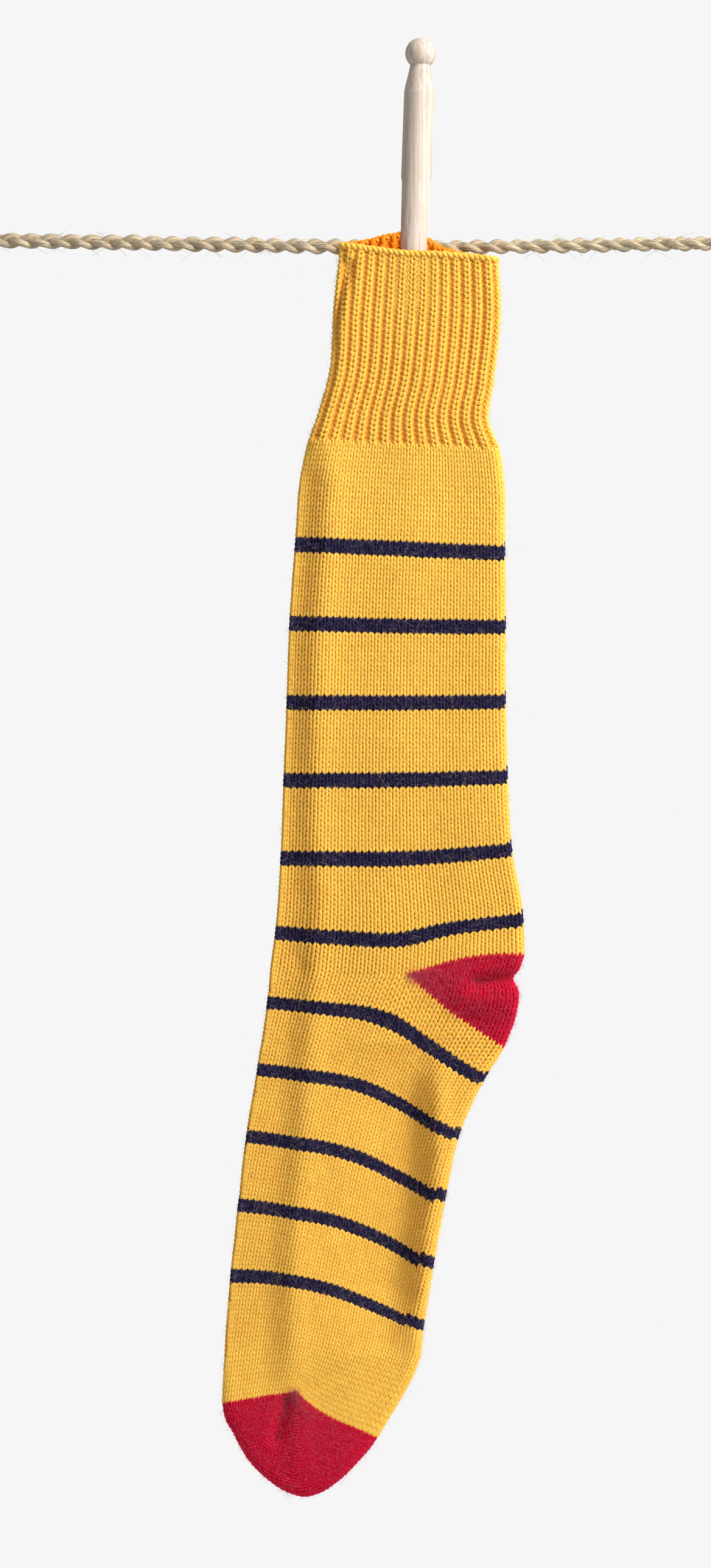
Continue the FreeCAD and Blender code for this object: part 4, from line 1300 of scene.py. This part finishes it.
class SOCK_OT_line(bpy.types.Operator):
    """Plaits the sisal line and its two eyes, and winds their seizings"""
    bl_idname = "sock.line"
    bl_label = "Sisal line"

    def execute(self, context):
        settings = context.scene.line_settings
        sisal = bast("plaited_sisal", tuple(settings.sisal), linear("#A3845A"), 22.0)
        twine = bast("tarred_hemp_twine", tuple(settings.tarred), linear("#4C3C26"), 9.0)
        steel = galvanised_steel()
        right = np.array(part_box("thimble_right"), float).mean(axis=0)
        eye = smooth_route(EYE_ROUTE)
        for side, centre, sense in (("left", np.zeros(3), 1.0), ("right", right, -1.0)):
            weave = Weave()
            placed = eye * np.array([sense, 1.0, 1.0]) + np.array([centre[0], 0, centre[2]])
            plait(weave, placed, settings, lambda share: 0.4 + 0 * share, 60)
            loop = weave.build("sisal_eye_" + side, [sisal])
            dressed(loop, "line", ["line_eye_" + side])
            wound = self.seizing(settings, side, centre, twine)
            thimble = frame["nodes"]["thimble_" + side]
            thimble.data.materials.clear()
            thimble.data.materials.append(steel)
        weave = Weave()
        route = smooth_route(LINE_ROUTE)
        plait(weave, route, settings, lambda share: 0.35 + 0.85 * share, 61)
        rope = weave.build("sisal_line", [sisal])
        dressed(rope, "line", ["line"])
        loose = Weave()
        strays(loose, route, 170, 62)
        dressed(loose.build("sisal_strays", [sisal]), "line", [])
        return {"FINISHED"}

    def seizing(self, settings, side, centre, twine):
        """Twine wound nine times round the line and its tail."""
        low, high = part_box("seizing_" + side)
        radius = settings.twine / 2
        lift = settings.diameter / 2 + 0.00005
        bend = settings.diameter / 2 + radius + 0.0001
        length = high[0] - low[0] - 2 * radius
        turns = int(length / (settings.twine * 1.02))
        turn = np.linspace(0, 2 * math.pi * turns, turns * 36)
        straight = 2 * lift
        round_length = 2 * math.pi * bend + 2 * straight
        arc = (turn / (2 * math.pi) % 1.0) * round_length
        y, z = np.zeros_like(arc), np.zeros_like(arc)
        first = arc < math.pi * bend
        angle = arc / bend
        y[first] = bend * np.cos(angle[first])
        z[first] = lift + bend * np.sin(angle[first])
        second = (~first) & (arc < math.pi * bend + straight)
        y[second] = -bend
        z[second] = lift - (arc[second] - math.pi * bend)
        third = (arc >= math.pi * bend + straight) & (arc < 2 * math.pi * bend + straight)
        angle = (arc - math.pi * bend - straight) / bend
        y[third] = -bend * np.cos(angle[third])
        z[third] = -lift - bend * np.sin(angle[third])
        last = arc >= 2 * math.pi * bend + straight
        y[last] = bend
        z[last] = -lift + (arc[last] - 2 * math.pi * bend - straight)
        x = low[0] + radius + length * turn / turn[-1]
        path = np.stack([x, y, z + centre[2]], axis=1)
        out = np.stack([0 * x, y, z], axis=1)
        weave = Weave()
        weave.tube(path, out, radius, sides=8)
        wound = weave.build("twine_seizing_" + side, [twine])
        dressed(wound, "line", ["seizing_" + side])
        return wound


# ---- The peg ----------------------------------------------------------------------------
class SOCK_OT_peg(bpy.types.Operator):
    """Finishes the turned peg in sanded birch"""
    bl_idname = "sock.peg"
    bl_label = "Dolly peg"

    def execute(self, context):
        settings = context.scene.peg_settings
        peg = frame["nodes"]["dolly_peg"]
        peg.data.materials.clear()
        peg.data.materials.append(sanded_birch(tuple(settings.birch), tuple(settings.grain)))
        return {"FINISHED"}


# ---- The studio -------------------------------------------------------------------------
VIEW_MIDDLE = (0.18784, -0.2302)
VIEW_HEIGHT = 0.6698
CAMERA_AWAY = 2.2


class SOCK_OT_camera(bpy.types.Operator):
    """Places the camera straight in front of the sock, with a long lens"""
    bl_idname = "sock.camera"
    bl_label = "Camera"

    def execute(self, context):
        data = bpy.data.cameras.new("camera")
        data.sensor_fit = "VERTICAL"
        data.sensor_height = 36.0
        data.lens = 36.0 * CAMERA_AWAY / VIEW_HEIGHT
        data.clip_end = 20.0
        camera = bpy.data.objects.new("camera", data)
        camera.location = (VIEW_MIDDLE[0], SOCK_MIDDLE - CAMERA_AWAY, VIEW_MIDDLE[1])
        camera.rotation_euler = (math.pi / 2, 0, 0)
        context.scene.collection.objects.link(camera)
        context.scene.camera = camera
        return {"FINISHED"}


class SOCK_OT_studio(bpy.types.Operator):
    """Sets up the paper floor, the soft lights and the pale studio round them"""
    bl_idname = "sock.studio"
    bl_label = "Studio"

    def execute(self, context):
        settings = context.scene.stage_settings
        # Plain display colours, so that each dye shows as it is.
        context.scene.view_settings.view_transform = "Standard"
        self.floor(context, settings)
        middle = (0.19, 0.0, -0.23)
        # The key looks over the sock's cuff, so that the toe hangs in its softer edge.
        over_the_cuff = (0.0, 0.0, 0.35)
        for name, place, aim, size, power, tint in (
            ("key_softbox", (1.35, -0.85, 0.8), over_the_cuff, 0.7, settings.key_power,
             "#FFFCF8"),
            ("fill_softbox", (-1.7, -1.2, 0.1), middle, 1.5, settings.fill_power, "#F4F7FF"),
            ("top_softbox", (0.1, -0.4, 1.6), middle, 1.3, settings.fill_power, "#FFFFFF"),
            ("back_softbox", (-0.3, 1.9, 0.9), middle, 1.4, settings.back_power, "#FFFFFF"),
        ):
            data = bpy.data.lights.new(name, "AREA")
            data.shape = "DISK"
            data.size = size
            data.energy = power
            data.color = linear(tint)
            light = bpy.data.objects.new(name, data)
            light.location = place
            light.rotation_euler = (Vector(aim) - Vector(place)).to_track_quat(
                "-Z", "Y").to_euler()
            context.scene.collection.objects.link(light)
        self.air(context, settings)
        return {"FINISHED"}

    def air(self, context, settings):
        """A pale, even surrounding, seen brighter than it lights."""
        world = bpy.data.worlds.new("studio_air")
        world.use_nodes = True
        tree = world.node_tree
        background = tree.nodes["Background"]
        background.inputs[0].default_value = rgba(settings.paper)
        seen = node(tree, "ShaderNodeLightPath")
        strength = node(tree, "ShaderNodeMath", {
            "operation": "MULTIPLY_ADD", 1: 1.0 - settings.air_light, 2: settings.air_light},
            {0: seen.outputs["Is Camera Ray"]})
        tree.links.new(strength.outputs[0], background.inputs[1])
        context.scene.world = world

    def floor(self, context, settings):
        """A round sheet of paper under the sock."""
        height, radius, corners = -0.80, 1.35, 96
        turns = [2 * math.pi * i / corners for i in range(corners)]
        mesh = bpy.data.meshes.new("paper_floor")
        mesh.from_pydata([(0.19 + radius * math.cos(a), radius * math.sin(a), height)
                          for a in turns], [], [tuple(range(corners))])
        mesh.materials.append(backdrop_paper(tuple(settings.paper)))
        sheet = bpy.data.objects.new("paper_floor", mesh)
        context.scene.collection.objects.link(sheet)


class SOCK_PT_panel(bpy.types.Panel):
    """Lists the pieces and their sizes"""
    bl_idname = "SOCK_PT_panel"
    bl_label = "Sock on a line"
    bl_space_type = "VIEW_3D"
    bl_region_type = "UI"
    bl_category = "Sock"

    def draw(self, context):
        scene = context.scene
        for group, keys in (
            (scene.sock_settings, ("yarn", "loop_depth", "stitch_reach", "stitch_flare",
                                   "rib_depth", "hairs", "gold", "navy", "crimson")),
            (scene.line_settings, ("diameter", "pitch", "twine", "sisal", "tarred")),
            (scene.peg_settings, ("birch", "grain")),
            (scene.stage_settings, ("paper", "key_power", "fill_power", "back_power",
                                    "air_light")),
        ):
            box = self.layout.box()
            for key in keys:
                box.prop(group, key)
        for operator in OPERATORS:
            self.layout.operator(operator.bl_idname)


OPERATORS = (SOCK_OT_camera, SOCK_OT_line, SOCK_OT_ribbed_cuff, SOCK_OT_leg, SOCK_OT_ankle,
             SOCK_OT_foot, SOCK_OT_heel, SOCK_OT_toe, SOCK_OT_wool_hairs, SOCK_OT_peg,
             SOCK_OT_studio)
CLASSES = (SockSettings, LineSettings, PegSettings, StageSettings) + OPERATORS + (
    SOCK_PT_panel,)


def register():
    """Makes the classes and settings known."""
    for made in CLASSES:
        bpy.utils.register_class(made)
    scene = bpy.types.Scene
    scene.sock_settings = bpy.props.PointerProperty(type=SockSettings)
    scene.line_settings = bpy.props.PointerProperty(type=LineSettings)
    scene.peg_settings = bpy.props.PointerProperty(type=PegSettings)
    scene.stage_settings = bpy.props.PointerProperty(type=StageSettings)


def unregister():
    """Takes them away again."""
    for name in ("sock_settings", "line_settings", "peg_settings", "stage_settings"):
        delattr(bpy.types.Scene, name)
    for made in reversed(CLASSES):
        bpy.utils.unregister_class(made)


def main():
    """Builds everything in order."""
    register()
    bpy.ops.sock.camera()
    bpy.ops.sock.line()
    bpy.ops.sock.ribbed_cuff()
    bpy.ops.sock.leg()
    bpy.ops.sock.ankle()
    bpy.ops.sock.foot()
    bpy.ops.sock.heel()
    bpy.ops.sock.toe()
    bpy.ops.sock.wool_hairs()
    bpy.ops.sock.peg()
    bpy.ops.sock.studio()


if __name__ == "__main__":
    main()
